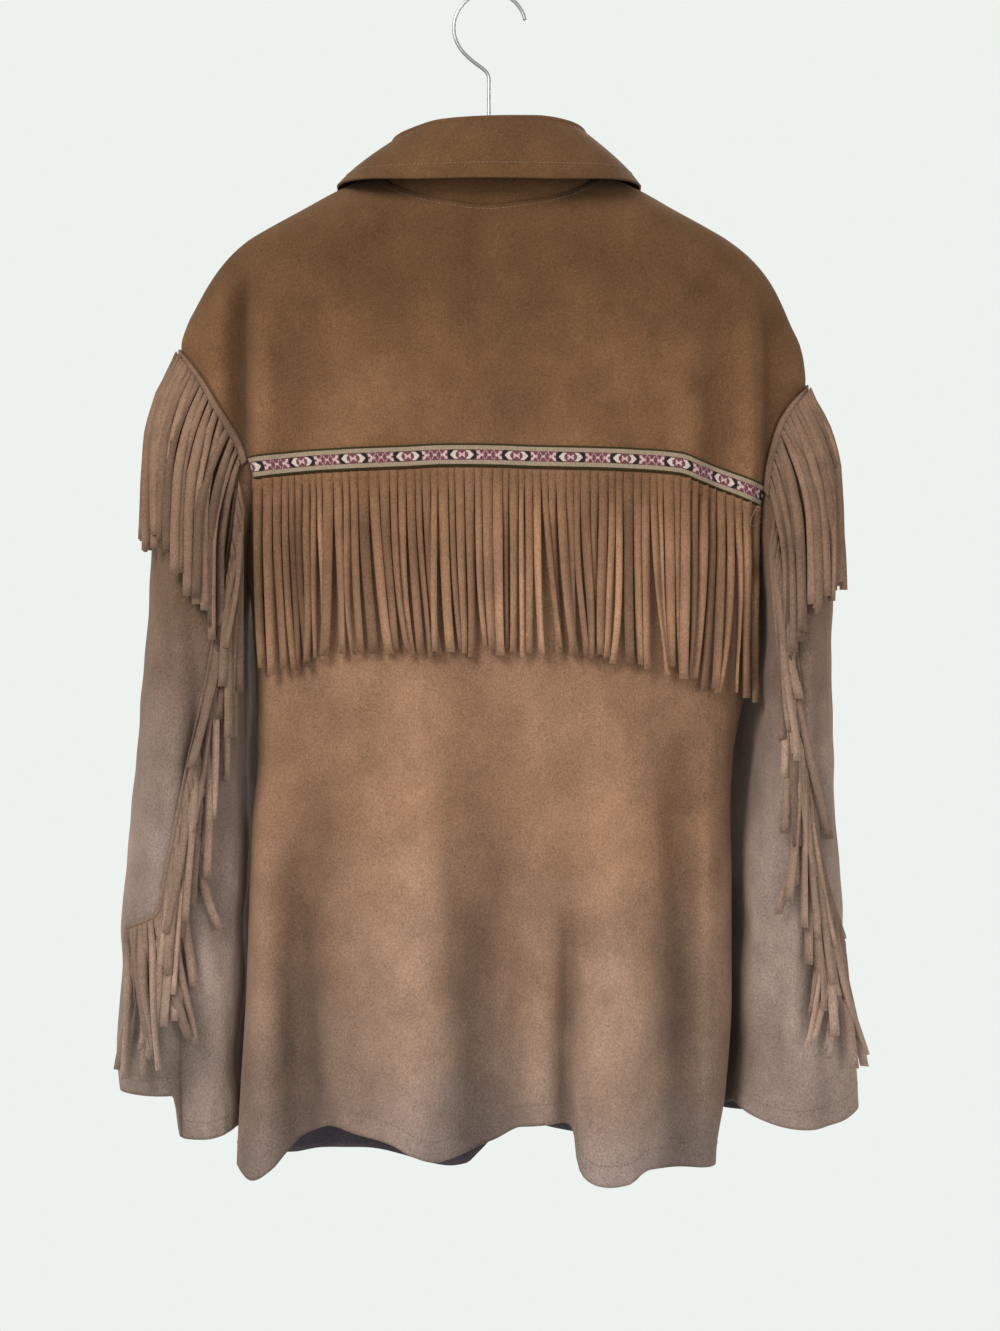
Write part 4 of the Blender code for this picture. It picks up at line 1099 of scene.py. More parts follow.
def wood_material(colour):
    """Pale clear-finished wood with its grain along the hanger."""
    made, tree, shader, coords = material("hanger_wood")
    grain = noise(tree, stretched(tree, coords, (0.06, 1.0, 1.0)), 420.0, 4.0, 0.78, 1.16)
    tint = noise(tree, stretched(tree, coords, (0.2, 1.0, 1.0)), 60.0, 3.0, 0.88, 1.1)
    tree.links.new(scaled(tree, plain(tree, colour), grain, tint), shader.inputs["Base Color"])
    tree.links.new(grain, shader.inputs["Roughness"])
    settings(shader, {"Coat Weight": 0.25, "Coat Roughness": 0.3})
    bump(tree, shader, [(grain, 0.00008)])
    return made


def wire_material(colour):
    """Plain bright wire, drawn lengthwise."""
    made, tree, shader, coords = material("hook_steel")
    varied = scaled(tree, plain(tree, colour), noise(tree, coords, 200.0, 3.0, 0.88, 1.08))
    tree.links.new(varied, shader.inputs["Base Color"])
    drawn = noise(tree, stretched(tree, coords, (6.0, 6.0, 0.6)), 300.0, 3.0, 0.24, 0.42)
    tree.links.new(drawn, shader.inputs["Roughness"])
    settings(shader, {"Metallic": 1.0})
    bump(tree, shader, [(noise(tree, coords, 900.0, 2.0), 0.00002)])
    return made


def floor_material(colour):
    """An even pale floor."""
    made, tree, shader, coords = material("pale_floor")
    varied = scaled(tree, plain(tree, colour), noise(tree, coords, 3.0, 2.0, 0.98, 1.01))
    tree.links.new(varied, shader.inputs["Base Color"])
    settings(shader, {"Roughness": 0.8})
    return made


def length_property(label, words, size):
    """A length in metres that a user may change."""
    return bpy.props.FloatProperty(name=label, description=words, default=size, min=0.0, precision=5,
                                   unit="LENGTH")


def count_property(label, words, count):
    """A number of strands that a user may change."""
    return bpy.props.IntProperty(name=label, description=words, default=count, min=2)


def colour_property(label, words, colour):
    """A colour that a user may change."""
    return bpy.props.FloatVectorProperty(name=label, description=words, default=colour, size=3, min=0, max=1,
                                         subtype="COLOR")


class FringeJacketSizes(bpy.types.PropertyGroup):
    """Sizes that a user may change"""

    cloth: length_property("Cloth", "Thickness of the suede-look cloth", 0.0016)
    strand: length_property("Strand thickness", "Thickness of the cut strips of the fringe", 0.0011)
    strand_length: length_property("Strand length", "Length of a strand of the sleeves' fringes", 0.138)
    yoke_strands: count_property("Yoke strands", "Strands under the braid", 60)
    sleeve_strands: count_property("Sleeve strands", "Strands down a sleeve", 38)
    armhole_strands: count_property("Armhole strands", "Strands round an armhole", 30)
    stitch: length_property("Stitch", "Length of one machine stitch", 0.0024)
    stitch_pitch: length_property("Stitch pitch", "From one stitch to the next", 0.0031)
    thread: length_property("Thread", "Radius of the sewing thread", 0.00024)
    button: length_property("Button", "Radius of a button", 0.007)
    wire: length_property("Hook wire", "Radius of the hook's wire", 0.0015)


class FringeJacketColours(bpy.types.PropertyGroup):
    """Colours that a user may change"""

    yoke_high: colour_property("Shoulders", "Suede at the shoulders and the collar", (0.070, 0.034, 0.0145))
    yoke_low: colour_property("Yoke", "Suede above the braid", (0.113, 0.055, 0.027))
    middle: colour_property("Body", "Suede of the body", (0.178, 0.096, 0.057))
    low: colour_property("Lower body", "Suede near the hem", (0.163, 0.106, 0.078))
    hem: colour_property("Hem", "Suede at the hem", (0.158, 0.121, 0.113))
    sleeve: colour_property("Sleeves", "Suede of the sleeves, paler and greyer", (0.218, 0.158, 0.132))
    sleeve_high: colour_property("Upper sleeves", "Suede at the top of the sleeves", (0.118, 0.070, 0.046))
    inside: colour_property("Inside", "The cloth's reverse, a purplish grey", (0.062, 0.050, 0.060))
    thread: colour_property("Thread", "Sewing thread", (0.140, 0.094, 0.060))
    button: colour_property("Buttons", "Horn-look buttons", (0.045, 0.027, 0.016))
    wood: colour_property("Hanger", "Wood of the hanger", (0.30, 0.19, 0.105))
    wire: colour_property("Hook", "Wire of the hook", (0.30, 0.31, 0.30))
    backdrop: colour_property("Backdrop", "The even pale surround", (0.847, 0.888, 0.855))


# Colours of the suede by height in metres, from the hem up
STOPS = {
    "body": ((-0.94, "hem"), (-0.84, "low"), (-0.66, "middle"), (-0.50, "middle"), (-0.37, "yoke_low"),
             (-0.22, "yoke_high"), (-0.09, "yoke_high")),
    "sleeve": ((-0.90, "sleeve"), (-0.68, "sleeve"), (-0.46, "sleeve_high"), (-0.33, "yoke_high")),
    "fringe": ((-0.94, "sleeve"), (-0.76, "low"), (-0.60, "low"), (-0.42, "sleeve_high")),
    "inside": ((-0.94, "inside"), (-0.10, "inside")),
}


def found(name, maker, *values):
    """The named material, made the first time that a piece asks for it."""
    return bpy.data.materials.get(name) or maker(*values)


def suede_for(place, colours):
    """The suede of the body, of the sleeves, of their fringes or of the cloth's reverse side."""
    stops = [(height, tuple(getattr(colours, name))) for height, name in STOPS[place]]
    return found(f"suede_{place}", suede, f"suede_{place}", stops)


def suedes_for(place, colours):
    """The suede of a place and of its reverse side."""
    return suede_for(place, colours), suede_for("inside", colours)


def body_cloth(name, grid, thick, colours):
    """A piece on the body's surface at this grid of (turn, z), with painted highlight where its folds stand
    out and painted shade where they sink in.
    """
    points = body(grid[..., 0], grid[..., 1])
    out = np.where(np.abs(grid[..., 0]) < 1, folds(points[..., 0], points[..., 2], True), 0)
    # Painted shade and highlight: the tone follows how far the back's folds stand out or sink in
    shade = np.clip(1 + PAINTED_FOLD_SHADE * out, 0.52, 1.3)
    return cloth(name, points, thick, suedes_for("body", colours), (0, 0), shade=shade)


def armhole_side(side_name, start, end, count):
    """(turn, z) along the armhole seam between two of its angles."""
    return np.stack(armhole(side_name, np.linspace(start, end, count)), axis=-1)


def level_grid(turns, hem, top, rows):
    """(turn, z) of a panel from its hem up to just short of its top line, in even rows."""
    z = hem + (top - hem) * even(rows)[:-1, None]
    return np.stack([np.broadcast_to(turns, z.shape), z], axis=-1)


def make_back(sizes, colours):
    """The yoke and the back below it, both patches of the body's surface between their seams."""
    thick = sizes.cloth / MM
    columns, rows, on_ridge = 150, 64, 36
    left, right = both_seam_angles()
    start = armhole_side("left", left, 0, rows)
    end = armhole_side("right", right, 0, rows)
    turns = even_turns(start[0, 0], end[0, 0], columns)
    bottom = np.stack([turns, seam_z(turns) + SEAM_GAP / 2], axis=-1)
    start[0], end[0] = bottom[0], bottom[-1]
    neck = neck_at(np.linspace(1, -1, columns - 2 * (on_ridge - 1)))
    top = np.concatenate([ridge("left", on_ridge)[:-1], neck, ridge("right", on_ridge)[::-1][1:]])
    grid = keep_off_ridge(coons(bottom, top, start, end), True)
    yoke = body_cloth("yoke_cloth", grid, thick, colours)
    settle(yoke, ["back_yoke"])
    up, down = 24, 130
    start = armhole_side("left", math.pi, left, up)
    end = armhole_side("right", math.pi, right, up)
    top = np.stack([turns, seam_z(turns) - SEAM_GAP / 2], axis=-1)
    start[-1], end[-1] = top[0], top[-1]
    arm_turn = even_turns(1, -1, columns)
    arm_z = np.linspace(start[0, 1], end[0, 1], columns)
    upper = coons(np.stack([arm_turn, arm_z], axis=-1), top, start, end)
    lower = level_grid(arm_turn, hem_z(arm_turn, True), arm_z, down)
    grid = keep_off_ridge(np.concatenate([lower, upper]), True)
    back = body_cloth("back_cloth", grid, thick, colours)
    settle(back, ["back_body"])


def make_fronts(sizes, colours):
    """The two fronts with their shoulders, and the placket over their meeting edges."""
    thick = sizes.cloth / MM
    columns, up, down, on_ridge = 80, 70, 96, 38
    edge = 1.998
    for side_name, area in (("left", 0.152), ("right", 0.178)):
        side = ARMHOLES[side_name]["side"]
        start = armhole_side(side_name, -math.pi, 0, up)
        start[0, 0] = start[-1, 0] = -side
        under = ARMHOLES[side_name]["bottom"]
        turns = even_turns(-side, -side * edge, columns)
        low = np.stack([turns, np.full(columns, float(under))], axis=-1)
        neck = neck_at(-side * np.linspace(1, 2, columns - on_ridge + 1))
        neck[-1, 0] = -side * edge
        top = np.concatenate([ridge(side_name, on_ridge)[:-1], neck])
        end = np.stack([np.full(up, -side * edge), np.linspace(under, top[-1, 1], up)], axis=-1)
        upper = coons(low, top, start, end)
        lower = level_grid(turns, hem_z(turns, False), under, down)
        grid = keep_off_ridge(np.concatenate([lower, upper]), False)
        front = body_cloth(f"front_cloth_{side_name}", grid, thick, colours)
        settle(front, [f"front_{side_name}"])
    points, normals = placket_grid(110)
    points = points + normals * (LAY_GAP + thick)
    placket = cloth("placket_cloth", points, thick, suedes_for("body", colours), (0, 0))
    settle(placket, ["front_placket"])


def placket_grid(rows, columns=9):
    """Points and normals down the centre front, PLACKET_HALF to each side."""
    across = np.linspace(PLACKET_HALF, -PLACKET_HALF, columns)[None, :]
    low = smooth(across, FRONT_HEM["x"], FRONT_HEM["z"]) + 0.5
    z = low + (NECK["z"][-1] - 2 - low) * even(rows)[:, None]
    turn = np.where(across == 0, 2.0, turn_at(across, z, True))
    normals = body_out(turn, z)
    return body(turn, z), unit(normals * np.array([0.6, 1, 1]))


def make_buttons(sizes, colours):
    """Six buttons: a turned profile with a raised rim, each sewn on by two crossed threads."""
    horn = found("horn_button", horn_material, colours.button)
    thread = found("sewing_thread", thread_material, colours.thread)
    profile = np.array(BUTTON_PROFILE) * [sizes.button / MM / 7, 1]
    angle = np.linspace(0, 2 * math.pi, 32, endpoint=False)
    lift = LAY_GAP + sizes.cloth / MM + LAY_GAP
    turned = np.stack([profile[:, :1] * np.cos(angle), np.broadcast_to(profile[:, 1:], (len(profile), 32)),
                       profile[:, :1] * np.sin(angle)], axis=-1)
    t = np.linspace(-1, 1, 9)[:, None]
    hump = np.array([0, 2.0, 0]) + np.array([0, 0.75, 0]) * (1 - t**4)
    for number, z in enumerate(BUTTON_HEIGHTS, 1):
        middle = body(2.0, z) + np.array([0, lift, 0])
        points, quads, _ = closed_rings(turned + middle)
        button = new_piece(f"horn_button_{number}", points, quads, horn)
        settle(button, [f"button_{number}"])
        bars = []
        for a in (0.25 * math.pi, 0.75 * math.pi):
            across = np.array([math.cos(a), 0, math.sin(a)])
            bars.append((tube(middle + across * BUTTON_HOLES * t + hump, 0.35, 8), 1.0))
        points, quads, _, _ = join(bars)
        settle(new_piece(f"button_thread_{number}", points, quads, thread))


def sleeve_tone_and_painted_shade(side_name, angle, z):
    """Tone of the sleeves: paler on the folds' crests and darker in the hollow beside the body, both painted
    highlight and shade, and darker on the left one's outer panel.
    """
    # Painted shade in the hollow between the sleeve and the body
    painted_hollow_shade = 0.50 * bell(full_turn(angle), 3.7, 0.5) * below(z, LOBE_FROM, 60)
    around = half_turn(angle)
    outer = 0.18 if side_name == "left" else 0.04
    panel = outer * below(around, PANEL_EDGE, 0.2) * above(around, -1, 0.5)
    # Painted highlight on the folds' crests and painted shade in their troughs
    return np.clip(1 + 1.4 * PAINTED_FOLD_SHADE * sleeve_folds(side_name, angle, z) - panel, 0.6, 1.2) - painted_hollow_shade


def make_sleeves(sizes, colours):
    """The two sleeves: tubes from the armhole seam, where they tuck in under the body, to the hem."""
    thick = sizes.cloth / MM
    for side_name, area in (("left", 0.161), ("right", 0.149)):
        side = ARMHOLES[side_name]["side"]
        angle = np.linspace(0, 2 * math.pi, 168, endpoint=False)[None, :]
        _, top = armhole(side_name, angle)
        first = run_down(ARMHOLE_GAP, top)
        run = first + (1 - first) * even(170)[:, None] ** 1.12
        outer = sleeve(side_name, angle, run)
        turn, top = armhole(side_name, angle[0])
        tucked = 2 * body(turn, top) - sleeve(side_name, angle[0], run_down(4, top))
        tucked = tucked - body_out(turn, top) * (thick + LAY_GAP + 0.3)
        outer = np.concatenate([tucked[None], outer])
        # The sleeves' tone, with painted shade and highlight of folds and hollow
        shade = sleeve_tone_and_painted_shade(side_name, angle, outer[..., 2])
        suedes = suedes_for("sleeve", colours)
        piece = cloth(f"sleeve_cloth_{side_name}", outer, thick, suedes, (side * 240, 0), True, shade)
        settle(piece, [f"sleeve_{side_name}"])


def make_collar(sizes, colours):
    """The stand from the neck seam up to the fold, and the fall that rolls over it."""
    thick = sizes.cloth / MM
    suedes = suede_for("body", colours), suede_for("body", colours)
    turn = np.linspace(1.9, -1.9, 150)
    on_body = neck_at(turn)
    base = body(on_body[:, 0], on_body[:, 1]) + np.array([0, 0, 0.8])
    fold, side = collar_line("fold", turn), collar_side(turn)
    stand = mix(base[None], fold[None], even(16)[:, None, None])
    tucked = base - side * (thick + LAY_GAP) - np.array([0, 0, 4.0])
    stand = np.concatenate([tucked[None], stand])
    stand[1] -= side * (thick + LAY_GAP) * 0.5
    piece = cloth("collar_stand_cloth", stand, thick, suedes, (0, 0))
    settle(piece, ["collar_stand"])
    v = np.concatenate([np.linspace(0.02, ROLL_SHARE, 12)[:-1], np.linspace(ROLL_SHARE, 1, 44)])[:, None]
    fall = collar_fall(*np.broadcast_arrays(turn, v), thick)
    piece = cloth("collar_fall_cloth", fall, thick, suedes, (0, 0))
    settle(piece, ["collar_fall"])


def band_cells(columns):
    """Thread colours of the band from its edge down: two dark rows, four plain, ten charted, four and two."""
    half = [list(row + row[::-1]) for row in BAND_CHART]
    repeat = len(half[0])
    edge = [["g"] * repeat] * 2 + [["b"] * repeat] * 4 + half
    letters = np.array(edge + edge[::-1])[:, np.arange(columns) % repeat]
    colours = np.zeros((*letters.shape, 3))
    for letter, colour in BAND_THREADS.items():
        colours[letters == letter] = colour
    return colours


def make_braid(sizes, colours):
    """The woven band over the yoke seam, a cell for each thread crossing, with a loose end of thread."""
    left, right = both_seam_angles()
    ends = armhole("left", left)[0], armhole("right", right)[0]
    fine = np.linspace(float(ends[0]) - 0.006, float(ends[1]) + 0.012, 900)
    run = run_along(body(fine, seam_z(fine)))
    cells = int(run[-1] / BAND_CELL)
    turn = np.interp(np.linspace(0, run[-1], cells + 1), run, fine)[None, :]
    z = seam_z(turn) + BRAID_HEIGHT * np.linspace(0.5, -0.5, BAND_ROWS + 1)[:, None]
    normals = body_out(turn, z)
    across, down = np.broadcast_arrays(np.arange(cells + 1)[None, :], np.arange(BAND_ROWS + 1)[:, None])
    ribs = 0.12 * ((across + down) % 2)
    outer = body(turn, z) + normals * (LAY_GAP + 1.25 + ribs[..., None])
    points = np.concatenate([outer.reshape(-1, 3), (outer - normals * 1.0).reshape(-1, 3)])
    quads, rim = shell_faces(BAND_ROWS + 1, cells + 1, False)
    order = quads[:, ::-1] if signed_volume(points, quads) < 0 else quads
    woven = found("woven_band", band_material)
    piece = new_piece("braid_band", points, quads, woven, slice(len(quads) - rim, None))
    count = BAND_ROWS * cells
    face_colour = np.full((len(quads), 3), BAND_THREADS["b"])
    face_colour[:count] = band_cells(cells).reshape(-1, 3)
    face_colour[2 * count :] = BAND_THREADS["g"]
    corners = np.ones((len(quads), 4, 4))
    corners[..., :3] = face_colour[:, None]
    thread = piece.data.attributes.new("thread", "FLOAT_COLOR", "CORNER")
    thread.data.foreach_set("color", corners.astype(np.float32).ravel())
    uv = np.stack([across, down], -1).reshape(-1, 2)
    uv = np.concatenate([uv, uv]) * BAND_CELL * MM * 10
    layer = piece.data.uv_layers.new(name="band")
    layer.data.foreach_set("uv", uv[order.ravel()].astype(np.float32).ravel())
    settle(piece, ["braid"])
    t = even(40)[:, None]
    start = np.array([205.0, 0.0, -407.0])
    path = start + np.array([-7, 0, -9]) * np.sin(math.pi * t) ** 1.2 + np.array([4, 0, -12]) * t
    at = turn_at(path[:, 0], path[:, 2])
    path = body(at, path[:, 2]) + body_out(at, path[:, 2]) * (4.2 + 1.5 * np.sin(math.pi * t))
    points, quads, _ = facing(tube(path, 0.22, 6))
    sewing = found("sewing_thread", thread_material, colours.thread)
    settle(new_piece("loose_thread", points, quads, sewing))


def hanging(x, z, half, area, lift, layer, turned):
    """Where strands lie that hang over the back: the cover's reach under their width, less lift and layer."""
    reach = np.minimum(np.minimum(cover(area, x - half, z), cover(area, x + half, z)), cover(area, x, z))
    return reach - lift - layer - np.abs(np.sin(turned)) * half


def strand_tones(shades, v):
    """A tone for each point of the strands: that of the uncut edge at the root, then the strand's own."""
    return np.repeat((1 + (np.clip(shades, 0.55, 1.6)[:, None] - 1) * ease(3.5 * v)).ravel(), 6)


def under_braid(x):
    """Height of the yoke fringe's top edge, just under the braid."""
    return smooth(x, YOKE_SEAM["x"], YOKE_SEAM["z"]) - BRAID_HEIGHT / 2 - BRAID_CLEAR


def shingles(count, layers=5):
    """A layer for each strand, as a column, so that neighbours lie at different heights."""
    return (np.arange(count) * 2 % 5 % layers)[:, None]


def make_yoke_fringe(sizes, colours, area):
    """Strands cut up to a narrow uncut edge under the braid; they hang with small sways and twists."""
    table = YOKE_STRANDS
    rng = np.random.default_rng(table["seed"])
    count, rows, thick = sizes.yoke_strands, table["rows"], sizes.strand / MM
    left, right = both_seam_angles()
    low = seam_z(np.zeros(1))[0]
    x_left = body(armhole("left", left)[0], low)[0] + 5
    x_right = body(armhole("right", right)[0], low)[0] - 6
    cuts = np.cumsum(np.concatenate([[0], rng.uniform(*table["pitch"], count)]))
    cuts = x_left + (x_right - x_left) * cuts / cuts[-1]
    lift = LAY_GAP + thick + 0.4
    x = np.linspace(x_left, x_right, 6 * count)
    top_z = under_braid(x)
    turn = turn_at(x, top_z)
    out = body_out(turn, top_z)
    tops = body(turn, top_z) + out * (lift - 0.5)
    root_z = top_z - FRINGE_HEADER
    roots = body(turn_at(x, root_z), root_z) + out * (lift - 0.5)
    parts = [(strip(tops, roots, out, thick), 0.9)]
    middle = (cuts[1:] + cuts[:-1]) / 2
    pitch = (cuts[1:] - cuts[:-1]) / 2
    half = pitch - rng.uniform(*table["gap"], count)
    v = np.concatenate([[0, 0.03], np.linspace(0.06, 1, rows - 2)])[None, :]
    start_z = under_braid(middle)
    tips = smooth(middle, FRINGE_TIPS["x"], FRINGE_TIPS["z"]) + rng.normal(0, table["tips"], count)
    cut_at = FRINGE_HEADER / (start_z - tips)[:, None] * rng.uniform(*table["cut"], count)[:, None]
    free_share = np.clip((v - cut_at) / (1 - cut_at), 0, 1)
    drift = smooth(middle, YOKE_DRIFT["x"], YOKE_DRIFT["drift"])
    drift = drift + 2.6 * waves(middle, 0 * middle, 45, 61) + rng.normal(0, table["drift"], count)
    crossing = np.isin(np.arange(count), CROSSING_STRANDS)
    drift = drift + np.where(crossing, rng.choice([-table["crossing"], table["crossing"]], count), 0)
    sway = rng.normal(0, table["sway"], count)[:, None]
    phase = rng.uniform(0, 6, count)[:, None]
    sway = sway * np.sin(math.pi * v * 1.6 + phase) * free_share
    hooked = rng.normal(0, table["hook"], count)[:, None] * v**5
    px = middle[:, None] + drift[:, None] * free_share**1.7 + sway + hooked
    pz = start_z[:, None] + (tips - start_z)[:, None] * v
    turned = rng.normal(0, table["twist"], count)[:, None] * ease(1.2 * free_share)
    turned = turned + np.where(crossing, 0.5, 0)[:, None] * free_share
    layer = shingles(count, 3) * 1.3 + np.where(crossing, 2.2, 0)[:, None]
    cut_free = ease(free_share / 0.02)
    wide = mix(pitch[:, None], half[:, None] * (1 - 0.06 * v), cut_free)
    free = hanging(px, pz, wide, area, lift, 0.8 + layer * ease(2.5 * v) + 1.8 * v, turned)
    held = body(turn_at(middle[:, None], pz), pz)[..., 1] - lift
    py = mix(held, free, ease(3.2 * free_share))
    paths = np.stack([px, py, pz], axis=-1)
    across = np.stack([np.cos(turned), np.sin(turned), 0 * turned], axis=-1)
    outwards = np.stack([np.sin(turned), -np.cos(turned), 0 * turned], axis=-1)
    # Painted shade: the strands of the lowest layer, under their neighbours, are 0.16 darker
    shade = rng.normal(*table["tone"], count) - np.where(layer[:, 0] == 0, 0.16, 0.0)
    # Painted shade on the clumps of strands that hang in a fold's valley
    for x, wide_clump, depth in zip(*PAINTED_SHADE_CLUMPS.values()):
        shade = shade - depth * bell(middle, x, wide_clump)
    cut = strands(paths, across, outwards, wide, thick, 0.25 * cut_free[..., None])
    parts.append((cut, strand_tones(shade, free_share)))
    fringe_piece("yoke_fringe_strands", "yoke_fringe", parts, suede_for("body", colours))


def make_armhole_fringes(sizes, colours, area):
    """Strands from each armhole seam: at the back they arch out and drop, else they follow the sleeve."""
    table = ARMHOLE_STRANDS
    count, rows, thick = sizes.armhole_strands, table["rows"], sizes.strand / MM
    first = table["from_angle"]
    for side_name, seed in table["seed"].items():
        rng = np.random.default_rng(seed)
        side = ARMHOLES[side_name]["side"]
        last = armhole_angle_at_seam(side_name) - 0.07
        angle = np.linspace(first, last, 6 * count)
        _, seam = armhole(side_name, angle)
        lift = LAY_GAP + thick + 0.5
        out = sleeve_out(side_name, angle, run_down(5, seam))
        tops = sleeve(side_name, angle, run_down(1.6, seam)) + out * lift
        roots = sleeve(side_name, angle, run_down(6, seam)) + out * lift
        parts = [(strip(tops, roots, out, thick), 1.0)]
        cuts = np.linspace(first, last, count + 1)
        middle = ((cuts[1:] + cuts[:-1]) / 2)[:, None]
        v = even(rows)[None, :]
        _, seam = armhole(side_name, middle)
        lengths = sizes.strand_length / MM + 9 + rng.normal(0, table["length"], count)[:, None]
        run = run_down(5.5 + lengths * v, seam)
        fanned = middle + rng.normal(0, table["fan"], count)[:, None] * v**1.4
        away = unit(sleeve_out(side_name, fanned, run) * np.array([1, 1, 0]))
        layer = shingles(count, 3) * 1.4
        bend = ease(4 * v)
        off = mix(lift, lift + 0.8 + layer + 5 * (1 - (1 - v) ** 2), bend)
        root_out = unit(sleeve_out(side_name, middle, run_down(5.5, seam)))
        out = unit(mix(root_out, away, bend))
        paths = sleeve(side_name, fanned, run) + out * off[..., None]
        arc = np.linalg.norm(np.diff(roots, axis=0), axis=1).sum() / count
        along = unit(np.gradient(roots, axis=0))[3::6][:, None]
        half = mix(arc / 2 - 0.05, rng.uniform(*table["half"], count)[:, None], bend)
        turned = rng.normal(0, table["twist"], count)[:, None] * v
        behind = (middle > 0.05)[..., None]
        root = paths[:, :1]
        shift = 4 + 7.5 * (1 + np.cos(middle)) + rng.normal(0, table["shift"], count)[:, None]
        arch = 1 - (1 - np.minimum(v / 0.55, 1)) ** 2
        px = root[..., 0] + side * (shift * arch + rng.normal(0, table["sway"], count)[:, None] * v**2)
        pz = root[..., 2] - lengths * v
        free = hanging(px, pz, half, area, lift, 0.8 + layer * ease(2 * v) + 2.0 * v, turned)
        py = mix(root[..., 1], free, ease(3 * v))
        least = shingles(count) * 0.25
        least = hanging(px, pz, half, area, lift, layer * ease(2 * v) + least - 0.3, turned)
        paths = np.where(behind, np.stack([px, np.minimum(py, least), pz], axis=-1), paths)
        away = np.where(behind, BACKWARDS, away)
        out = unit(mix(root_out, away, bend))
        sideways = np.stack([-away[..., 1], away[..., 0], 0 * away[..., 0]], axis=-1)
        across = sideways * np.cos(turned)[..., None] + away * np.sin(turned)[..., None]
        along = along * np.sign((along * sideways).sum(-1, keepdims=True))
        across = unit(mix(along, across, bend))
        outwards = out * np.cos(turned)[..., None] - sideways * np.sin(turned)[..., None]
        cut = strands(paths, across, outwards, half, thick, 0.25)
        parts.append((cut, strand_tones(rng.normal(*table["tone"], count), v)))
        fringe_piece(f"armhole_fringe_strands_{side_name}", f"armhole_fringe_{side_name}", parts,
                     suede_for("fringe", colours))


def sleeve_seam(side_name, places):
    """Points (x, z) at these shares of a sleeve's fringe seam, and the direction square to it, inwards."""
    side = ARMHOLES[side_name]["side"]
    x, z = np.array(SLEEVE_FRINGES[side_name]["x"], float), np.array(SLEEVE_FRINGES[side_name]["z"], float)
    run = np.concatenate([[0], np.cumsum(np.hypot(np.diff(x), np.diff(z)))])
    at = run[-1] * places
    seam = np.stack([side * smooth(at, run, x), smooth(at, run, z)], axis=-1)
    along = unit(np.gradient(seam, axis=0))
    return seam, np.stack([along[:, 1], -along[:, 0]], axis=-1) * side


def make_sleeve_fringes(sizes, colours, area):
    """Strands that leave the sleeve's back seam, turn down and hang in shingles, closer near the cuff."""
    table = SLEEVE_STRANDS
    count, rows, thick = sizes.sleeve_strands, table["rows"], sizes.strand / MM
    for side_name, seed in table["seed"].items():
        rng = np.random.default_rng(seed)
        side = ARMHOLES[side_name]["side"]
        lift = LAY_GAP + thick + 0.4
        header = lift - 0.5
        seam, off = sleeve_seam(side_name, even(6 * count))
        edges = []
        for way in (-SEAM_WELT_HALF, SEAM_WELT_HALF):
            x, z = seam[:, 0] + way * off[:, 0], seam[:, 1] + way * off[:, 1]
            edges.append(np.stack([x, cover(area, x, z) - header, z], axis=-1))
        parts = [(strip(edges[0], edges[1], np.broadcast_to(BACKWARDS, edges[0].shape), thick), 0.95)]
        place = smooth(even(count), STRAND_PLACES["share"], STRAND_PLACES[side_name])
        root_half = np.gradient(place)[:, None] * np.linalg.norm(np.diff(seam, axis=0), axis=1).sum() / 2
        seam, off = sleeve_seam(side_name, place)
        start = seam + off * (SEAM_WELT_HALF - 0.5)
        v = even(rows)[None, :]
        bend = ease(5 * v)
        lengths = smooth(place, STRAND_LENGTHS["place"], STRAND_LENGTHS[side_name])
        lengths = (lengths * rng.uniform(*table["length"], count))[:, None]
        lean = smooth(place, STRAND_LENGTHS["place"], STRAND_LENGTHS["lean"])
        fan = -side * (lean + 4.0 * waves(start[:, 1], 0 * start[:, 1], 60, seed + 70))[:, None] * v**1.3
        spread = STRAND_LENGTHS["spread"][side_name] * (0.3 + 0.7 * ease(place / 0.35))
        fan = fan + side * rng.normal(0, spread, count)[:, None] * v**1.3
        swing = rng.normal(0, table["swing"], count)[:, None]
        phase = rng.uniform(0, 6, count)[:, None]
        fan = fan + swing * np.sin(math.pi * 1.7 * v + phase) * v
        px = start[:, :1] + off[:, :1] * 3.0 * bend + fan
        pz = start[:, 1:] - lengths * v
        half = mix(root_half, rng.uniform(*table["half"], count)[:, None], bend)
        turned = rng.normal(0, table["twist"], count)[:, None] * ease(1.5 * v)
        layer = 0.9 + shingles(count) * 1.2 * ease(2 * v) + 3.0 * v
        free = hanging(px, pz, half, area, lift, layer, turned)
        held = cover(area, start[:, 0], start[:, 1])[:, None] - header
        least = hanging(px, pz, half, area, lift - 0.5, shingles(count) * 0.3, turned)
        py = np.minimum(mix(held, free, ease(4 * v)), least)
        paths = np.stack([px, py, pz], axis=-1)
        root_across = np.stack([-off[:, 1] * side, 0 * off[:, 0], off[:, 0] * side], axis=-1)
        hung = np.stack([side * np.cos(turned), np.sin(turned), 0 * turned], axis=-1)
        across = unit(mix(root_across[:, None], hung, bend))
        outwards = unit(np.stack([side * np.sin(turned), -np.cos(turned), 0 * turned], axis=-1))
        cut = strands(paths, across, outwards, half, thick, 0.25)
        parts.append((cut, strand_tones(rng.normal(*table["tone"], count), v)))
        fringe_piece(f"sleeve_fringe_strands_{side_name}", f"sleeve_fringe_{side_name}", parts,
                     suede_for("fringe", colours))


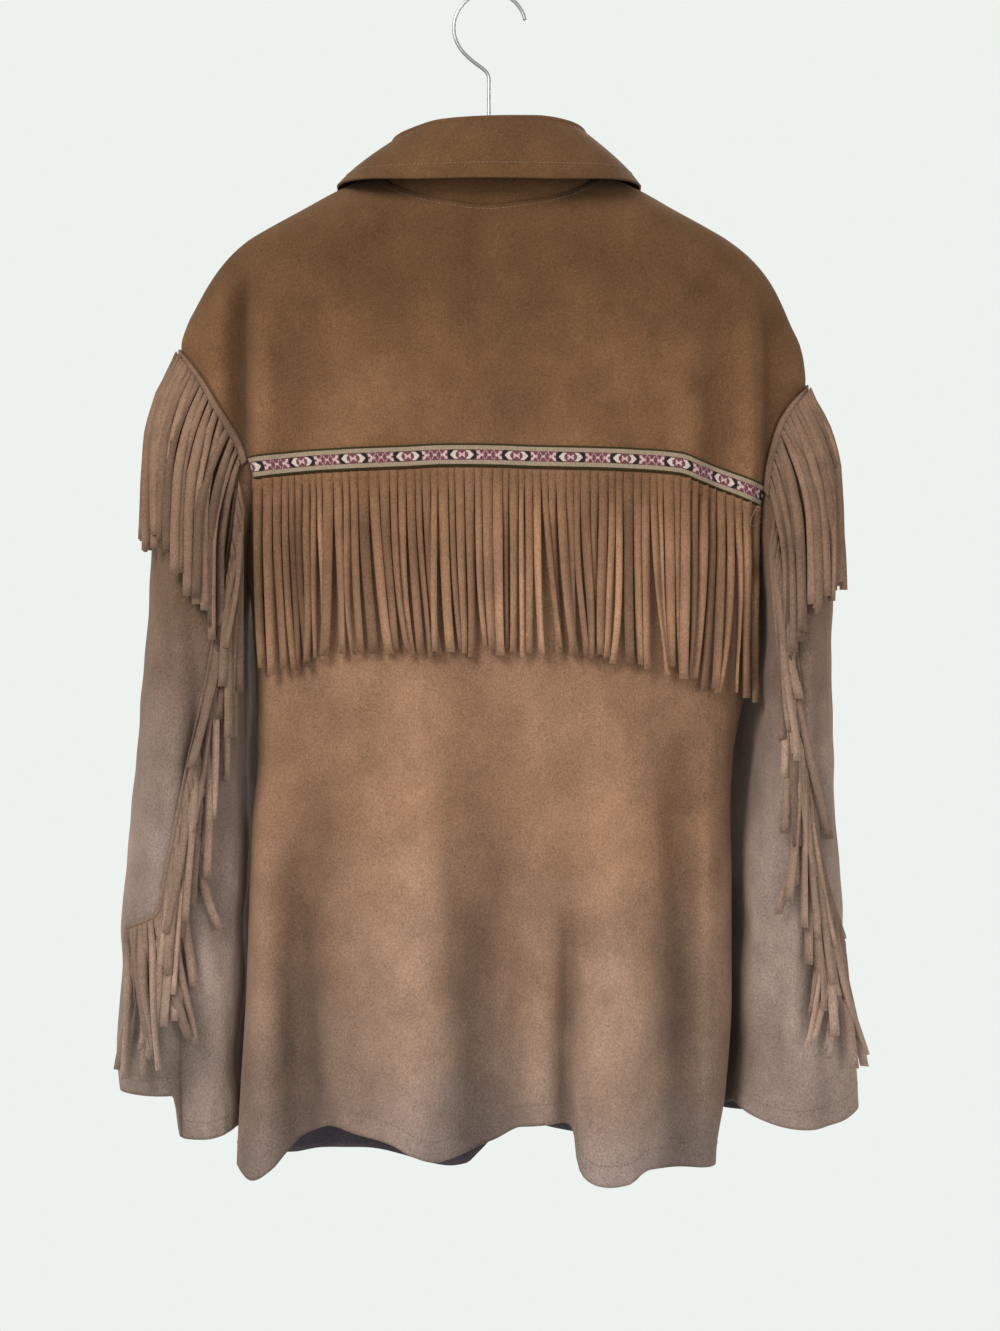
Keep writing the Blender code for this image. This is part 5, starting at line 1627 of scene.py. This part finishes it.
def make_stitches(sizes, colours):
    """Rows of machine stitches: the collar's edge, the neck seam, the hems and the placket."""
    thread = found("sewing_thread", thread_material, colours.thread)
    pitch, length, radius = sizes.stitch_pitch / MM, sizes.stitch / MM, sizes.thread / MM
    thick = sizes.cloth / MM

    def sew(name, line, out):
        """One row of stitches along a line."""
        points, quads, _ = facing(stitches(line, out, pitch, length, radius))
        settle(new_piece(name, points, quads, thread))

    turn = np.linspace(1.84, -1.84, 500)
    line = collar_fall(turn, np.full(500, 0.80), thick)
    lower = collar_fall(turn, np.full(500, 0.84), thick)
    out = unit(np.cross(np.gradient(line, axis=0), lower - line))
    out = out * np.sign((out * collar_side(turn)).sum(-1, keepdims=True))
    sew("collar_stitches", line, out)
    turn, z = neck_at(np.linspace(1.9, -1.9, 500)).T
    sew("neck_stitches", body(turn, z - 3.0), body_out(turn, z - 3.0))
    turn = np.linspace(0.985, -0.985, 600)
    z = hem_z(turn, True) + HEM_STITCHES
    sew("back_hem_stitches", body(turn, z), body_out(turn, z))
    for side_name, hole in ARMHOLES.items():
        turn = -hole["side"] * np.linspace(1.015, 1.90, 400)
        z = hem_z(turn, False) + HEM_STITCHES
        sew(f"front_hem_stitches_{side_name}", body(turn, z), body_out(turn, z))
        angle = np.linspace(0, 2 * math.pi, 400)
        run = np.full(400, 1 - 15 / 500)
        line, out = sleeve(side_name, angle, run), sleeve_out(side_name, angle, run)
        sew(f"sleeve_hem_stitches_{side_name}", line, out)
    points, normals = placket_grid(300)
    for column, name in ((1, "right"), (-2, "left")):
        line = points[:, column] + normals[:, column] * (LAY_GAP + thick)
        sew(f"placket_stitches_{name}", line, normals[:, column])


def hook_path():
    """The hook's wire: most of a circle over the rod, a bend back to the middle and a straight stem."""
    centre = np.array([0.8, 0, 1.5 - HOOK_BEND])
    turns = np.radians(np.linspace(12, 222, 70))
    arc = centre + HOOK_BEND * np.stack([np.cos(turns), 0 * turns, np.sin(turns)], axis=-1)
    last = arc[-1]
    bend = np.array([0.0, 0.0, -68.0])
    pull = last + 17 * np.array([-math.sin(turns[-1]), 0, math.cos(turns[-1])])
    v = np.linspace(0, 1, 30)[1:, None]
    upper = last * (1 - v) ** 3 + 3 * pull * v * (1 - v) ** 2
    neck = upper + 3 * (bend + [0, 0, 9]) * v**2 * (1 - v) + bend * v**3
    stem = np.linspace(bend, [0, 0, HANGER_TOP + SEAM_GAP], 12)[1:]
    return np.concatenate([arc, neck, stem])


def make_hanger(sizes, colours):
    """The hook's wire, and the wood of the bar, whose solid stays."""
    path = hook_path()
    path[-1, 2] += 0.3
    points, quads, _ = facing(tube(path, sizes.wire / MM, 16))
    hook = new_piece("hook_wire_bend", points, quads, found("hook_steel", wire_material, colours.wire))
    settle(hook, ["hanger_hook"])
    wood = found("hanger_wood", wood_material, colours.wood)
    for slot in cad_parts["hanger_bar"].material_slots:
        slot.material = wood


def make_stage(colours):
    """Camera square to the back, an even pale surround, a pale floor and soft lamps."""
    scene = bpy.context.scene
    lens = bpy.data.cameras.new("camera")
    lens.sensor_fit = "HORIZONTAL"
    lens.sensor_width = SENSOR
    distance = -CAMERA_PLACE[1]
    lens.lens = SENSOR * distance / VIEW_WIDTH
    lens.clip_start = 0.05
    lens.dof.use_dof = False
    camera = bpy.data.objects.new("camera", lens)
    camera.location = CAMERA_PLACE
    camera.rotation_euler = (math.pi / 2, 0, 0)
    scene.collection.objects.link(camera)
    scene.camera = camera
    scene.view_settings.view_transform = "Standard"
    world = bpy.data.worlds.new("surround")
    world.use_nodes = True
    settings(world.node_tree.nodes["Background"], {"Color": (*colours.backdrop, 1), "Strength": 1.0})
    scene.world = world
    radius = even(12)[:, None] * FLOOR_RADIUS + 0.02
    angle = np.linspace(0, 2 * math.pi, 96, endpoint=False)[None, :]
    height = FLOOR_HEIGHT + 0 * radius
    top = np.stack(np.broadcast_arrays(radius * np.cos(angle), radius * np.sin(angle), height), axis=-1)
    low = top[::-1] - np.array([0, 0, 0.02])
    points, quads, _ = closed_rings(np.concatenate([top, low]) / MM)
    floor = new_piece("floor", points, quads, found("pale_floor", floor_material, FLOOR_COLOUR), slice(None))
    for name, place, size, watts in LAMPS:
        lamp = bpy.data.lights.new(name, "AREA")
        lamp.shape = "DISK"
        lamp.size = size
        lamp.energy = watts
        holder = bpy.data.objects.new(name, lamp)
        holder.location = place
        x, y, z = np.array(LAMP_AIM) - np.array(place)
        holder.rotation_euler = (math.atan2(math.hypot(x, y), -z), 0, math.atan2(y, x) - math.pi / 2)
        scene.collection.objects.link(holder)


# Holds the cover map once it is made
AREA = {}


def shared_cover():
    """The cover map, worked out once and shared by the fringes that lie on it."""
    if "map" not in AREA:
        AREA["map"] = cover_map()
    return AREA["map"]


def made_by(maker, context, *more):
    """Makes one group of pieces in the scene's own sizes and colours."""
    maker(context.scene.fringe_jacket_sizes, context.scene.fringe_jacket_colours, *more)
    return {"FINISHED"}


class FRINGE_JACKET_OT_back(bpy.types.Operator):
    """Make the back yoke and the back below it"""

    bl_idname = "fringe_jacket.back"
    bl_label = "Back"

    def execute(self, context):
        return made_by(make_back, context)


class FRINGE_JACKET_OT_fronts(bpy.types.Operator):
    """Make both fronts and the placket"""

    bl_idname = "fringe_jacket.fronts"
    bl_label = "Fronts"

    def execute(self, context):
        return made_by(make_fronts, context)


class FRINGE_JACKET_OT_buttons(bpy.types.Operator):
    """Make the six buttons with their threads"""

    bl_idname = "fringe_jacket.buttons"
    bl_label = "Buttons"

    def execute(self, context):
        return made_by(make_buttons, context)


class FRINGE_JACKET_OT_sleeves(bpy.types.Operator):
    """Make both sleeves"""

    bl_idname = "fringe_jacket.sleeves"
    bl_label = "Sleeves"

    def execute(self, context):
        return made_by(make_sleeves, context)


class FRINGE_JACKET_OT_collar(bpy.types.Operator):
    """Make the collar's stand and fall"""

    bl_idname = "fringe_jacket.collar"
    bl_label = "Collar"

    def execute(self, context):
        return made_by(make_collar, context)


class FRINGE_JACKET_OT_braid(bpy.types.Operator):
    """Make the woven band over the yoke seam"""

    bl_idname = "fringe_jacket.braid"
    bl_label = "Braid"

    def execute(self, context):
        return made_by(make_braid, context)


class FRINGE_JACKET_OT_yoke_fringe(bpy.types.Operator):
    """Make the fringe under the braid"""

    bl_idname = "fringe_jacket.yoke_fringe"
    bl_label = "Yoke fringe"

    def execute(self, context):
        return made_by(make_yoke_fringe, context, shared_cover())


class FRINGE_JACKET_OT_armhole_fringes(bpy.types.Operator):
    """Make the fringes round the armholes"""

    bl_idname = "fringe_jacket.armhole_fringes"
    bl_label = "Armhole fringes"

    def execute(self, context):
        return made_by(make_armhole_fringes, context, shared_cover())


class FRINGE_JACKET_OT_sleeve_fringes(bpy.types.Operator):
    """Make the fringes down the sleeves"""

    bl_idname = "fringe_jacket.sleeve_fringes"
    bl_label = "Sleeve fringes"

    def execute(self, context):
        return made_by(make_sleeve_fringes, context, shared_cover())


class FRINGE_JACKET_OT_stitches(bpy.types.Operator):
    """Sew the visible rows of stitches"""

    bl_idname = "fringe_jacket.stitches"
    bl_label = "Stitches"

    def execute(self, context):
        return made_by(make_stitches, context)


class FRINGE_JACKET_OT_hanger(bpy.types.Operator):
    """Make the hook and finish the hanger's bar"""

    bl_idname = "fringe_jacket.hanger"
    bl_label = "Hanger"

    def execute(self, context):
        return made_by(make_hanger, context)


class FRINGE_JACKET_OT_stage(bpy.types.Operator):
    """Set up the camera, the surround, the floor and the lamps"""

    bl_idname = "fringe_jacket.stage"
    bl_label = "Stage"

    def execute(self, context):
        make_stage(context.scene.fringe_jacket_colours)
        return {"FINISHED"}


PIECES = (
    FRINGE_JACKET_OT_back,
    FRINGE_JACKET_OT_fronts,
    FRINGE_JACKET_OT_buttons,
    FRINGE_JACKET_OT_sleeves,
    FRINGE_JACKET_OT_collar,
    FRINGE_JACKET_OT_braid,
    FRINGE_JACKET_OT_yoke_fringe,
    FRINGE_JACKET_OT_armhole_fringes,
    FRINGE_JACKET_OT_sleeve_fringes,
    FRINGE_JACKET_OT_stitches,
    FRINGE_JACKET_OT_hanger,
    FRINGE_JACKET_OT_stage,
)


class FRINGE_JACKET_PT_panel(bpy.types.Panel):
    """Sizes, colours and pieces of the fringe jacket"""

    bl_label = "Fringe Jacket"
    bl_idname = "FRINGE_JACKET_PT_panel"
    bl_space_type = "VIEW_3D"
    bl_region_type = "UI"
    bl_category = "Fringe Jacket"

    def draw(self, context):
        for group in (context.scene.fringe_jacket_sizes, context.scene.fringe_jacket_colours):
            box = self.layout.box()
            for name in group.__annotations__:
                box.prop(group, name)
        for piece in PIECES:
            self.layout.operator(piece.bl_idname)


CLASSES = (FringeJacketSizes, FringeJacketColours, *PIECES, FRINGE_JACKET_PT_panel)


def register():
    """Adds the classes and the two groups of values to the scene."""
    for made in CLASSES:
        bpy.utils.register_class(made)
    bpy.types.Scene.fringe_jacket_sizes = bpy.props.PointerProperty(type=FringeJacketSizes)
    bpy.types.Scene.fringe_jacket_colours = bpy.props.PointerProperty(type=FringeJacketColours)


def unregister():
    """Takes them away again."""
    del bpy.types.Scene.fringe_jacket_colours
    del bpy.types.Scene.fringe_jacket_sizes
    for made in reversed(CLASSES):
        bpy.utils.unregister_class(made)


def main():
    """Makes every piece in order."""
    register()
    bpy.ops.fringe_jacket.stage()
    bpy.ops.fringe_jacket.back()
    bpy.ops.fringe_jacket.fronts()
    bpy.ops.fringe_jacket.buttons()
    bpy.ops.fringe_jacket.sleeves()
    bpy.ops.fringe_jacket.collar()
    bpy.ops.fringe_jacket.braid()
    bpy.ops.fringe_jacket.yoke_fringe()
    bpy.ops.fringe_jacket.armhole_fringes()
    bpy.ops.fringe_jacket.sleeve_fringes()
    bpy.ops.fringe_jacket.stitches()
    bpy.ops.fringe_jacket.hanger()


if __name__ == "__main__":
    main()
